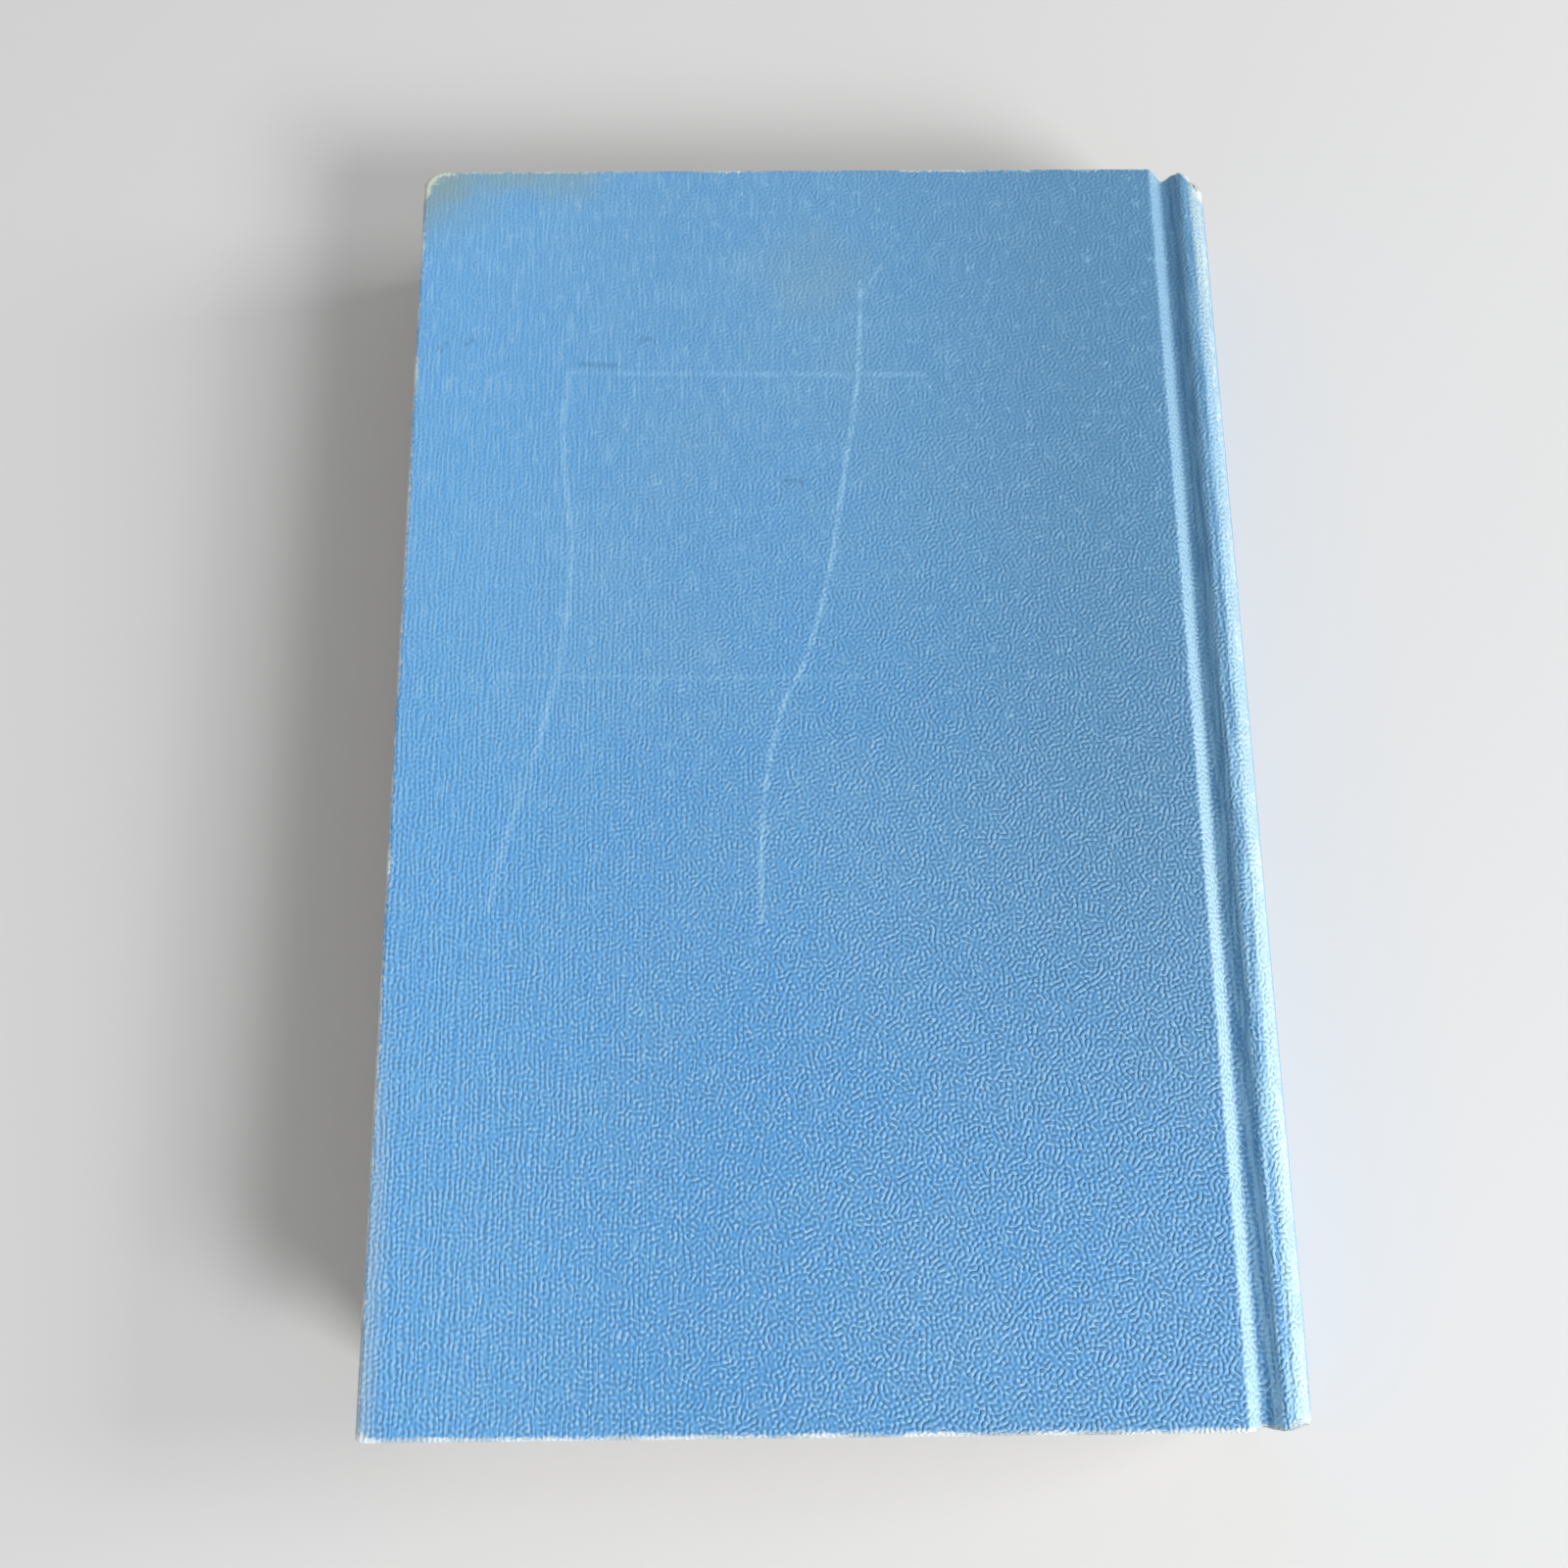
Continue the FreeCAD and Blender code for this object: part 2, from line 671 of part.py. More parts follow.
def make_pastedown(label, turned):
    """Pasted half of the endpaper: over the turn-ins and the gauze, sunk on to the board between."""
    body = new_body(label)
    end_level = f"({CREST_FACE} - {DEPTH_PASTE} - fabric)"
    across = "leaf * sin(slope)"
    along = "leaf * cos(slope)"
    end_x = slope_x(DEPTH_PASTE, end_level)
    sheet_outline = [
        Corner(f"-{PAGE_WIDTH}", PASTE_INNER),
        foot(DEPTH_GAP, PASTE_INNER),
        Corner(f"({end_x} + {across})", f"({end_level} - {along})"),
        Corner(end_x, end_level),
        foot(DEPTH_PASTE, PASTE_OUTER),
        Corner(f"-{PAGE_WIDTH}", PASTE_OUTER),
    ]
    pad_along_y(body, sheet_outline, PAGE_HEIGHT, "sheet")
    left = "(-cover_reach + turn_in)"
    right = "(-gauze_reach)"
    raised = [
        Corner(left, f"({PASTE_INNER} + leaf / 2)"),
        Corner(left, BOARD_INNER),
        Corner(right, BOARD_INNER),
        Corner(right, f"({PASTE_INNER} + leaf / 2)"),
    ]
    pad_along_y(body, raised, "(cover_height - 2 * turn_in)", "sunk_middle")
    hollow = [
        Corner(f"({left} + leaf)", f"({PASTE_INNER} - leaf)"),
        Corner(f"({left} + leaf)", f"({BOARD_INNER} - leaf)"),
        Corner(f"({right} - leaf)", f"({BOARD_INNER} - leaf)"),
        Corner(f"({right} - leaf)", f"({PASTE_INNER} - leaf)"),
    ]
    cut_along_y(body, hollow, "(cover_height - 2 * turn_in - 2 * leaf)", "hollow_under_it")
    return settle(body, turned)


def make_gauze_flange(label, turned):
    """Gauze that carries on from the spine and holds the board under the pastedown."""
    body = new_body(label)
    end_level = f"({CREST_FACE} - {DEPTH_PASTE} - fabric)"
    across = "fabric * sin(slope)"
    along = "fabric * cos(slope)"
    end_x = slope_x(DEPTH_PASTE, end_level)
    outline = [
        Corner("-gauze_reach", PASTE_OUTER),
        foot(DEPTH_PASTE, PASTE_OUTER),
        Corner(end_x, end_level),
        Corner(f"({end_x} - {across})", f"({end_level} + {along})"),
        foot(DEPTH_GAUZE, BOARD_INNER),
        Corner("-gauze_reach", BOARD_INNER),
    ]
    pad_along_y(body, outline, GAUZE_HEIGHT, "gauze")
    return settle(body, turned)


# The whole book

def make_book():
    parts = [
        make_page_block(),
        settle(make_thread("sewing_thread", "thread")),
        make_spine_gauze(),
        make_spine_lining(),
        make_band("head_band", 1),
        make_band("tail_band", -1),
        make_spine_inlay(),
        make_spine_cloth(),
    ]
    for side, turned, worn in (("front", True, "corner_round"), ("back", False, "worn_round")):
        parts.append(make_flyleaf(f"{side}_flyleaf", turned))
        parts.append(make_board(f"{side}_board", turned, worn))
        parts.append(make_cover_cloth(f"{side}_cover_cloth", turned, worn))
        parts.append(make_pastedown(f"{side}_pastedown", turned))
        parts.append(make_gauze_flange(f"{side}_mull_flange", turned))
    return parts


def check_document():
    for thing in doc.Objects:
        if "Invalid" in thing.State or "Error" in thing.State:
            raise RuntimeError(f"{thing.Label}: {thing.State}")


def write_parts(parts):
    os.makedirs("parts", exist_ok=True)
    for part in parts:
        shape = part.Shape
        if shape.isNull() or not shape.isValid():
            raise RuntimeError(f"{part.Label}: the shape is not valid")
        shape.exportStep(f"parts/{part.Label}.step")
        box = shape.BoundBox
        print(
            f"{part.Label:22s} {len(shape.Solids)} solid  volume {shape.Volume:10.1f}"
            f"  x {box.XMin:7.2f} {box.XMax:7.2f}  y {box.YMin:7.2f} {box.YMax:7.2f}"
            f"  z {box.ZMin:6.2f} {box.ZMax:6.2f}"
        )


book = make_book()
doc.recompute()
check_document()
write_parts(book)
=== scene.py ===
import math

import bpy
from mathutils import Matrix, Vector, noise


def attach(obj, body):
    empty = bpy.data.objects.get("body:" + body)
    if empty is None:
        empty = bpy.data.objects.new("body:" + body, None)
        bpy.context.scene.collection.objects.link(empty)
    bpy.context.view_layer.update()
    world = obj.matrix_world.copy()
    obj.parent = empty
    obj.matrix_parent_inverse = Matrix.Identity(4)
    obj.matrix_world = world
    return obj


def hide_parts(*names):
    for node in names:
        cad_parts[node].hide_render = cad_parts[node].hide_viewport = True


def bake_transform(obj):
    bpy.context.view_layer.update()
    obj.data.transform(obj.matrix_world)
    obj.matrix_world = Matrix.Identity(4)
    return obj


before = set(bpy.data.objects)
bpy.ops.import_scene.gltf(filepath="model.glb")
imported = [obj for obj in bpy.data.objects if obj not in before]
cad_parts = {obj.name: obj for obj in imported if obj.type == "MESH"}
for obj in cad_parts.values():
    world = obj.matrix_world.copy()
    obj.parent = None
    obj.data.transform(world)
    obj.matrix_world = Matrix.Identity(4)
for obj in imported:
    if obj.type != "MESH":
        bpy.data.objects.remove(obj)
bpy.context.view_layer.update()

# Lengths are in millimetres up to the point where a mesh is made. The book's section is drawn with
# x = 0 on the line through the block's spine edges and z = 0 at mid thickness, as seen from the
# tail with the spine on the right. The front half is the back half mirrored in z.

MM = 0.001
HALF_THICKNESS = 14.4
SECTION_SHIFT = 69.0
HALF_HEIGHT = 111.0
COVER_REACH = 143.4
PAGE_HALF_HEIGHT = 108.0
PAGE_REACH = 140.2

# levels above mid thickness
BLOCK_FACE = 10.5
FLYLEAF_MIDDLE = 10.6
PASTE_MIDDLE = 11.1
CLOTH_UNDERSIDE = 11.2
CREST_FACE = 14.1
BLOCK_CREST = 12.6
LEAF = 0.18
FABRIC = 0.4

# the spine's arcs
SPINE_RISE = 3.5
SPINE_RADIUS = (BLOCK_CREST**2 + SPINE_RISE**2) / (2 * SPINE_RISE)
SPINE_CENTRE = SPINE_RISE - SPINE_RADIUS
SPINE_CLOTH_OUT = 1.9
SPINE_CLOTH_DEPTH = 1.15

# the joint
CREST_X = -2.2
VALLEY_X = -4.7
VALLEY_FACE = 11.6
LIP_X = -7.5
SLOPE = math.radians(45)
CLOTH_DOUBLED = 2 * FABRIC

# rounded edge of a covered board
WALL_ROUND = 0.95
WALL_SHARPNESS = 2.6
WALL_HALF = 1.6
# texture places of the cloth's inner side lie this far from those of its outside
INNER_SHIFT = 400.0
TURN_IN = 15.0
GAUZE_REACH = 30.0

# wear seen in the photo, places in the frame
WORN_CORNER = Vector((-74.4, 111.0))
TUFTED_CORNER = Vector((-73.8, -110.6))
WORN_ROUND = 4.0
PLAIN_ROUND = 1.4
# how far the cloth ends short of the full height in the groove, at the shoulder and on the spine
CAP_WEAR = {
    ("back", "head"): (1.4, 3.4, 1.0),
    ("back", "tail"): (0.6, 1.0, 0.3),
    ("front", "head"): (0.9, 1.4, 1.0),
    ("front", "tail"): (0.5, 0.7, 0.3),
}
FOLD_STRETCH = 13.0
DEEPEST_DIP = 0.5


# Nodes

class Nodes:
    """Short ways to add shader nodes to the tree of a material or world."""

    def __init__(self, owner, output_kind):
        owner.use_nodes = True
        self.owner = owner
        self.tree = owner.node_tree
        self.tree.nodes.clear()
        self.output = self.add(output_kind)

    def add(self, kind, inputs=None, **settings):
        node = self.tree.nodes.new(kind)
        for name, value in settings.items():
            setattr(node, name, value)
        for key, value in (inputs or {}).items():
            self.feed(node.inputs[key], value)
        return node

    def feed(self, socket, value):
        if isinstance(value, bpy.types.NodeSocket):
            self.tree.links.new(value, socket)
        else:
            socket.default_value = value

    def maths(self, operation, first, second=0.0, third=0.0, clamp=False):
        inputs = {0: first, 1: second, 2: third}
        return self.add("ShaderNodeMath", inputs, operation=operation, use_clamp=clamp).outputs[0]

    def times(self, first, second):
        return self.maths("MULTIPLY", first, second)

    def step(self, value, low, high, start=0.0, end=1.0):
        """Smooth step of a value from low to high."""
        inputs = {"Value": value, "From Min": low, "From Max": high, "To Min": start, "To Max": end}
        node = self.add("ShaderNodeMapRange", inputs, interpolation_type="SMOOTHSTEP")
        return node.outputs["Result"]

    def band(self, value, rise, fall):
        """1 between two soft edges and 0 outside them; each edge is a pair of values."""
        return self.times(self.step(value, *rise), self.step(value, *fall, 1.0, 0.0))

    def distance(self, vector, place):
        node = self.add("ShaderNodeVectorMath", {0: vector, 1: place}, operation="DISTANCE")
        return node.outputs["Value"]

    def split(self, vector):
        outputs = self.add("ShaderNodeSeparateXYZ", {0: vector}).outputs
        return outputs["X"], outputs["Y"]

    def scaled(self, vector, scale):
        return self.add("ShaderNodeMapping", {"Vector": vector, "Scale": scale}).outputs["Vector"]

    def noise(self, vector, scale, detail=2.0, roughness=0.5):
        inputs = {"Vector": vector, "Scale": scale, "Detail": detail, "Roughness": roughness}
        return self.add("ShaderNodeTexNoise", inputs).outputs["Fac"]

    def mix(self, factor, first, second, data_type="RGBA"):
        inputs = {"Factor": factor, "A": first, "B": second}
        return self.add("ShaderNodeMix", inputs, data_type=data_type).outputs["Result"]

    def bump(self, height, distance, strength=1.0, normal=None):
        node = self.add("ShaderNodeBump", {"Height": height, "Distance": distance, "Strength": strength})
        if normal is not None:
            self.feed(node.inputs["Normal"], normal)
        return node.outputs["Normal"]

    def layer(self, name):
        return self.add("ShaderNodeUVMap", uv_map=name).outputs["UV"]

    def attribute(self, name):
        return self.add("ShaderNodeAttribute", attribute_name=name).outputs["Fac"]

    def surface(self, colour, roughness, normal, **more):
        inputs = {"Base Color": colour, "Roughness": roughness, "Normal": normal}
        inputs.update((name.replace("_", " "), value) for name, value in more.items())
        shader = self.add("ShaderNodeBsdfPrincipled", inputs)
        self.feed(self.output.inputs["Surface"], shader.outputs["BSDF"])
        return self.owner


def material_nodes(name):
    return Nodes(bpy.data.materials.new(name), "ShaderNodeOutputMaterial")


def rgba(red, green, blue):
    return (red, green, blue, 1.0)


# Cloth

CLOTH_BLUE = rgba(0.085, 0.310, 0.64)
CLOTH_FADED = rgba(0.150, 0.36, 0.60)
CLOTH_LIVELY = rgba(0.150, 0.47, 0.90)
CLOTH_DULL = rgba(0.085, 0.245, 0.43)
# painted shade for the grain's valleys
CLOTH_VALLEY_SHADE = rgba(0.070, 0.235, 0.50)
# pale rubbed blue, also used for painted highlights on the ridge tops
CLOTH_RUB_AND_HIGHLIGHT = rgba(0.33, 0.61, 0.84)
# paler still: rubbing and a painted highlight on the joint and the shoulder's edge
CLOTH_PALE_RUB_AND_HIGHLIGHT = rgba(0.56, 0.80, 0.88)
CLOTH_THREAD = rgba(0.80, 0.86, 0.86)
CLOTH_GREY = rgba(0.44, 0.54, 0.58)
THREAD_SOILED = rgba(0.66, 0.72, 0.58)
SOIL = rgba(0.235, 0.36, 0.385)
PEN = rgba(0.03, 0.08, 0.16)

# the grain's ridges: cells to a millimetre and waves to a cell; its rows near the fore-edge
GRAIN_CELLS = 0.58
GRAIN_WAVES = 1.95
ROW_PITCH = 0.86

# Zones of the back cover in the frame, whose fore-edge is at x = -74.4 and whose head is at y = 111.
# Each pair runs from where a change starts to where it is complete.
ROWS_TO_RIDGES_X = (-66.0, 15.0)
FIBRES_X = (-75.0, 60.0)
FIBRES_Y = (-70.0, 90.0)
HAZE_X = (-69.5, -74.4)
HAZE_Y = (-30.0, -85.0)
FADED_Y = (-60.0, 100.0)
LIVELY_X = (-75.0, -15.0)
DULL_X = (-20.0, 60.0)
DULL_Y = (-100.0, 0.0)
# painted shade in the grain's valleys grows towards the tail
VALLEY_SHADE_Y = (80.0, -80.0)
# pale ridge tops, partly rubbed and partly a painted highlight, grow towards the tail
RIDGE_RUB_AND_HIGHLIGHT_Y = (80.0, -100.0)
RELIEF_X = (-80.0, 60.0)
RELIEF_Y = (-60.0, 110.0)

# the joint: slope down to the groove, folds beyond it, and its growing wear and painted highlight from head
# to tail
SLOPE_RISE = (60.9, 61.9)
SLOPE_FALL = (63.4, 64.6)
FOLDS_RISE = (64.0, 65.2)
FOLDS_FALL = (69.0, 71.0)
JOINT_Y = (100.0, -80.0)
STREAKS_Y = (90.0, -90.0)

# the spine's edge, as distances along the cloth from the middle of the spine
# the shoulder's edge is painted pale: partly rubbed, partly a painted highlight
SHOULDER_RISE = (8.5, 11.5)
SHOULDER_FALL = (15.0, 16.4)
CAP_RISE = (12.0, 14.0)
CAP_FALL = (15.2, 16.4)
CAP_Y = (70.0, 128.0)

SOILED_RADIUS = 10.5
SOILED_HEAD_Y = (108.0, 114.0)
SOILED_HEAD_X = (-46.0, -38.0)
STAIN_PLACE = (-2.0, 90.0)
STAIN_RADIUS = 9.0

# pale scratches: the axis that each follows, its (along, across) points, its width and its strength
SCRATCHES = [
    ("y", [(69, -46.3), (55, -46.9), (46, -46.1), (34, -45.0), (18, -45.9), (6, -48.1), (-6, -51.0),
           (-18, -54.7), (-30, -57.2)], 0.9, 0.42),
    ("y", [(87, 6.7), (68, 5.8), (49, 3.1), (29, -0.2), (14, -4.3), (2, -9.3), (-12, -11.6),
           (-32, -12.2)], 0.75, 0.6),
    ("y", [(75.2, 22.3), (66.3, 22.0)], 0.7, 0.22),
    ("y", [(90.4, 10.8), (84.3, 6.9)], 0.6, 0.4),
    ("x", [(-46.3, 68.7), (-20, 68.2), (18.2, 67.9)], 0.9, 0.26),
    ("x", [(-58.3, 11.3), (-25, 10.6), (5.3, 10.6)], 0.8, 0.16),
]

# short dark strokes of a pen, as (x, y) points
PEN_STROKES = [
    [(-70.2, 75.2), (-69.4, 73.4), (-68.6, 74.8), (-68.0, 73.6)],
    [(-65.6, 75.2), (-64.8, 74.4), (-64.0, 75.4), (-63.2, 73.6)],
    [(-44.6, 70.4), (-37.5, 70.0)],
    [(-34.1, 72.6), (-32.2, 75.4), (-30.1, 72.5)],
    [(-7.7, 47.3), (-3.9, 46.7)],
]
PEN_WIDTH = 0.75
PEN_STRENGTH = 0.24
# how softly a line begins and ends
LINE_END = 0.4


def cloth_grain(nodes, fabric, x):
    """Height of the embossed grain: short crooked ridges, lined up in rows towards the fore-edge."""
    inputs = {0: fabric, 1: GRAIN_CELLS, 2: GRAIN_WAVES, 3: 0.0}
    ridges = nodes.add("ShaderNodeTexGabor", inputs).outputs["Value"]
    across, _ = nodes.split(fabric)
    sway = nodes.noise(nodes.scaled(fabric, (0.4, 0.12, 1)), 1.0)
    turns = nodes.maths("MULTIPLY_ADD", sway, 2.2, nodes.times(across, 1 / ROW_PITCH))
    rows = nodes.maths("SINE", nodes.times(turns, 2 * math.pi))
    beads = nodes.maths("MULTIPLY_ADD", rows, 0.11, nodes.maths("MULTIPLY_ADD", ridges, 0.75, 0.125))
    height = nodes.mix(nodes.step(x, *ROWS_TO_RIDGES_X, 1.0, 0.0), ridges, beads, "FLOAT")
    return nodes.step(height, 0.25, 0.75)


def bare_fibres(nodes, fabric, x, y):
    """Fine pale fibres along the height, where the head end of the cover is rubbed smooth."""
    fibres = nodes.noise(nodes.scaled(fabric, (2.2, 0.16, 1)), 1.0)
    share = nodes.times(nodes.step(x, *FIBRES_X, 0.42, 0.12), nodes.step(y, *FIBRES_Y, 0.25, 1.0))
    return nodes.times(nodes.step(fibres, 0.48, 0.72), share)


def fore_edge_haze(nodes, x, y):
    """Greyish rubbed band along the fore-edge near the tail."""
    return nodes.times(nodes.step(x, *HAZE_X, 0.0, 0.45), nodes.step(y, *HAZE_Y))


def shoulder_streaks(nodes, fabric, x, y):
    """Pale lengthwise streaks on the folded cloth between groove and spine."""
    streaks = nodes.noise(nodes.scaled(fabric, (1.3, 0.07, 1)), 1.0)
    share = nodes.times(nodes.band(x, FOLDS_RISE, FOLDS_FALL), nodes.step(y, *STREAKS_Y, 0.25, 0.85))
    return nodes.times(nodes.step(streaks, 0.40, 0.60), share)


def from_spine(nodes, fabric):
    """Distance along the cloth from the middle of the spine."""
    across, _ = nodes.split(fabric)
    return nodes.maths("ABSOLUTE", across)


def soiled_cap(nodes, fabric, y, ragged):
    """Cream threads that show along the spine's edge near the head."""
    edge = nodes.band(from_spine(nodes, fabric), CAP_RISE, CAP_FALL)
    height = nodes.maths("MULTIPLY_ADD", ragged, 40.0, y)
    return nodes.times(edge, nodes.step(height, *CAP_Y, 0.0, 0.85))


def joint_rub_and_highlight_mask(nodes, fabric, x, y):
    """Where the cloth is painted pale, partly rubbed and partly a painted highlight: the board's slope down
    to the groove and the shoulder's edge.
    """
    slope = nodes.band(x, SLOPE_RISE, SLOPE_FALL)
    shoulder = nodes.band(from_spine(nodes, fabric), SHOULDER_RISE, SHOULDER_FALL)
    return nodes.times(nodes.maths("MAXIMUM", slope, shoulder), nodes.step(y, *JOINT_Y, 0.3, 0.85))


def line_mask(nodes, along, across, points, width, roughen):
    """Mask of a thin line given as (along, across) points in millimetres."""
    points = sorted(points)
    low, high = points[0][0], points[-1][0]
    offsets = [across_at for _, across_at in points]
    base = min(offsets)
    span = max(max(offsets) - base, 1.0)
    inputs = {"Value": along, "From Min": low, "From Max": high}
    share = nodes.add("ShaderNodeMapRange", inputs).outputs["Result"]
    curve = nodes.add("ShaderNodeFloatCurve", {"Value": share})
    track = curve.mapping.curves[0]
    while len(track.points) < len(points):
        track.points.new(0.5, 0.5)
    for mark, (along_at, across_at) in zip(track.points, points):
        mark.location = ((along_at - low) / (high - low), (across_at - base) / span)
    curve.mapping.update()
    centre = nodes.maths("MULTIPLY_ADD", curve.outputs["Value"], span, base)
    distance = nodes.maths("ABSOLUTE", nodes.maths("SUBTRACT", across, centre))
    distance = nodes.maths("ADD", distance, nodes.maths("MULTIPLY_ADD", roughen, 0.5, -0.25))
    near = nodes.step(distance, 0.1 * width, width, 1.0, 0.0)
    run = nodes.band(along, (low - LINE_END, low + LINE_END), (high - LINE_END, high + LINE_END))
    return nodes.times(near, run)


def spot_mask(nodes, plan, place, radius, ragged, softness=0.5):
    """Soft ragged spot round a place on the cover."""
    distance = nodes.maths("MULTIPLY_ADD", ragged, radius, nodes.distance(plan, (*place, 0)))
    return nodes.step(distance, radius * (1.5 - softness), radius * (1.5 + softness), 1.0, 0.0)


def cloth_scratches(nodes, plan, x, y):
    roughen = nodes.noise(plan, 1.3, detail=1.0)
    total = 0.0
    for axis, points, width, strength in SCRATCHES:
        along, across = (x, y) if axis == "x" else (y, x)
        mask = nodes.times(line_mask(nodes, along, across, points, width, roughen), strength)
        total = nodes.maths("MAXIMUM", total, mask)
    broken = nodes.step(nodes.noise(plan, 0.3, detail=3.0), 0.36, 0.6, 0.3, 1.0)
    return nodes.times(total, broken)


def soil_marks(nodes, plan, x, y, ragged):
    """Grime on the worn corner, along the head edge next to it, and a faint stain below the head."""
    corner = nodes.times(spot_mask(nodes, plan, WORN_CORNER, SOILED_RADIUS, ragged, 0.9), 0.95)
    depth = nodes.maths("MULTIPLY_ADD", ragged, 9.0, y)
    strip = nodes.times(nodes.step(depth, *SOILED_HEAD_Y), nodes.step(x, *SOILED_HEAD_X, 0.6, 0.0))
    stain = nodes.times(spot_mask(nodes, plan, STAIN_PLACE, STAIN_RADIUS, ragged), 0.16)
    return nodes.maths("MAXIMUM", nodes.maths("MAXIMUM", corner, strip), stain)


def ground_colour(nodes, x, y, patches, blotches):
    """Blue that is faded towards the head, lively at the fore-edge and dull at the spine and head."""
    fade = nodes.step(y, *FADED_Y, 0.0, 0.55)
    fade = nodes.maths("ADD", fade, nodes.step(patches, 0.35, 0.7, 0.0, 0.35))
    fade = nodes.maths("MULTIPLY_ADD", nodes.step(blotches, 0.4, 0.75), 0.2, fade, clamp=True)
    colour = nodes.mix(fade, CLOTH_BLUE, CLOTH_FADED)
    colour = nodes.mix(nodes.step(x, *LIVELY_X, 0.45, 0.0), colour, CLOTH_LIVELY)
    dull = nodes.times(nodes.step(x, *DULL_X), nodes.step(y, *DULL_Y))
    return nodes.mix(nodes.times(dull, 0.95), colour, CLOTH_DULL)


def ridge_rub_and_highlight(nodes, fabric, plan, y, grain):
    """Pale tops of the ridges, partly rubbed and partly a painted highlight, more towards the tail, and
    small pale scuffs.
    """
    rub_and_highlight = nodes.times(nodes.step(grain, 0.55, 1.0), nodes.step(y, *RIDGE_RUB_AND_HIGHLIGHT_Y, 0.12, 0.85))
    sparkle = nodes.noise(fabric, 0.55, detail=1.0)
    rub_and_highlight = nodes.times(rub_and_highlight, nodes.step(sparkle, 0.35, 0.65, 0.4, 1.0))
    scuffs = nodes.noise(plan, 0.42, detail=5.0, roughness=0.75)
    return nodes.maths("MAXIMUM", rub_and_highlight, nodes.step(scuffs, 0.55, 0.67, 0.0, 0.34))


def add_marks(nodes, colour, plan, x, y, weave):
    """Haze, scratches and pen strokes of the cover that the photo shows."""
    colour = nodes.mix(fore_edge_haze(nodes, x, y), colour, CLOTH_GREY)
    colour = nodes.mix(cloth_scratches(nodes, plan, x, y), colour, CLOTH_RUB_AND_HIGHLIGHT)
    for points in PEN_STROKES:
        stroke = line_mask(nodes, x, y, points, PEN_WIDTH, weave)
        colour = nodes.mix(nodes.times(stroke, PEN_STRENGTH), colour, PEN)
    return colour


def make_cloth(name, marked):
    """Embossed book cloth: faded, soiled and scratched where it is marked, rubbed at its edges, with
    painted highlights on the ridges, the joint and the spine's edge and painted shade in the grain's
    valleys.
    """
    nodes = material_nodes(name)
    fabric = nodes.layer("fabric")
    plan = nodes.layer("plan")
    x, y = nodes.split(plan)
    grain = cloth_grain(nodes, fabric, x)
    weave = nodes.noise(nodes.scaled(fabric, (1, 0.4, 1)), 5.0, detail=1.0)
    blotches = nodes.noise(plan, 0.11)
    colour = ground_colour(nodes, x, y, nodes.noise(plan, 0.022), blotches)
    # painted shade: the grain's valleys darker, more towards the tail
    valley_shade = nodes.times(nodes.step(grain, 0.5, 0.0), nodes.step(y, *VALLEY_SHADE_Y, 0.2, 0.85))
    colour = nodes.mix(valley_shade, colour, CLOTH_VALLEY_SHADE)
    # pale ridge tops: partly rubbing, partly a painted highlight
    colour = nodes.mix(ridge_rub_and_highlight(nodes, fabric, plan, y, grain), colour, CLOTH_RUB_AND_HIGHLIGHT)
    colour = nodes.mix(bare_fibres(nodes, fabric, x, y), colour, CLOTH_RUB_AND_HIGHLIGHT)
    colour = nodes.mix(shoulder_streaks(nodes, fabric, x, y), colour, CLOTH_RUB_AND_HIGHLIGHT)
    # pale joint and shoulder edge: partly rubbing, partly a painted highlight
    joint = nodes.times(joint_rub_and_highlight_mask(nodes, fabric, x, y), nodes.step(grain, 0.0, 0.8, 0.55, 1.0))
    colour = nodes.mix(joint, colour, CLOTH_PALE_RUB_AND_HIGHLIGHT)
    bare = nodes.mix(nodes.step(blotches, 0.35, 0.6), CLOTH_GREY, CLOTH_THREAD)
    if marked:
        ragged = nodes.noise(plan, 0.14, detail=3.0)
        soil = soil_marks(nodes, plan, x, y, ragged)
        cap = soiled_cap(nodes, fabric, y, ragged)
        bare = nodes.mix(nodes.maths("MAXIMUM", soil, cap), bare, THREAD_SOILED)
        cap_on_ridges = nodes.times(cap, nodes.step(grain, 0.0, 0.9, 0.1, 0.55))
        colour = nodes.mix(cap_on_ridges, colour, THREAD_SOILED)
        colour = nodes.mix(soil, colour, SOIL)
        colour = add_marks(nodes, colour, plan, x, y, weave)
    fluff = nodes.noise(fabric, 0.9, detail=3.0, roughness=0.7)
    # wear frays the cloth to bare thread; at the tail's rim and along the spine's edge this paleness is
    # partly a painted highlight
    frayed = nodes.maths("MULTIPLY_ADD", nodes.attribute("wear_and_highlight"), 1.25, nodes.times(fluff, -1.0))
    frayed = nodes.step(frayed, -0.08, 0.3)
    colour = nodes.mix(nodes.times(frayed, 0.85), colour, bare)
    rough = nodes.maths("MULTIPLY_ADD", frayed, 0.3, nodes.step(grain, 0.2, 0.9, 0.55, 0.40))
    relief = nodes.times(grain, nodes.step(x, *RELIEF_X, 0.45, 1.0))
    relief = nodes.times(relief, nodes.step(y, *RELIEF_Y, 1.0, 0.38))
    normal = nodes.bump(relief, 0.22 * MM, 1.0, nodes.bump(weave, 0.05 * MM, 0.35))
    return nodes.surface(colour, rough, normal, Sheen_Weight=0.15, Sheen_Roughness=0.4)


# Paper, board, gauze and thread

GAUZE_PITCH = 0.9


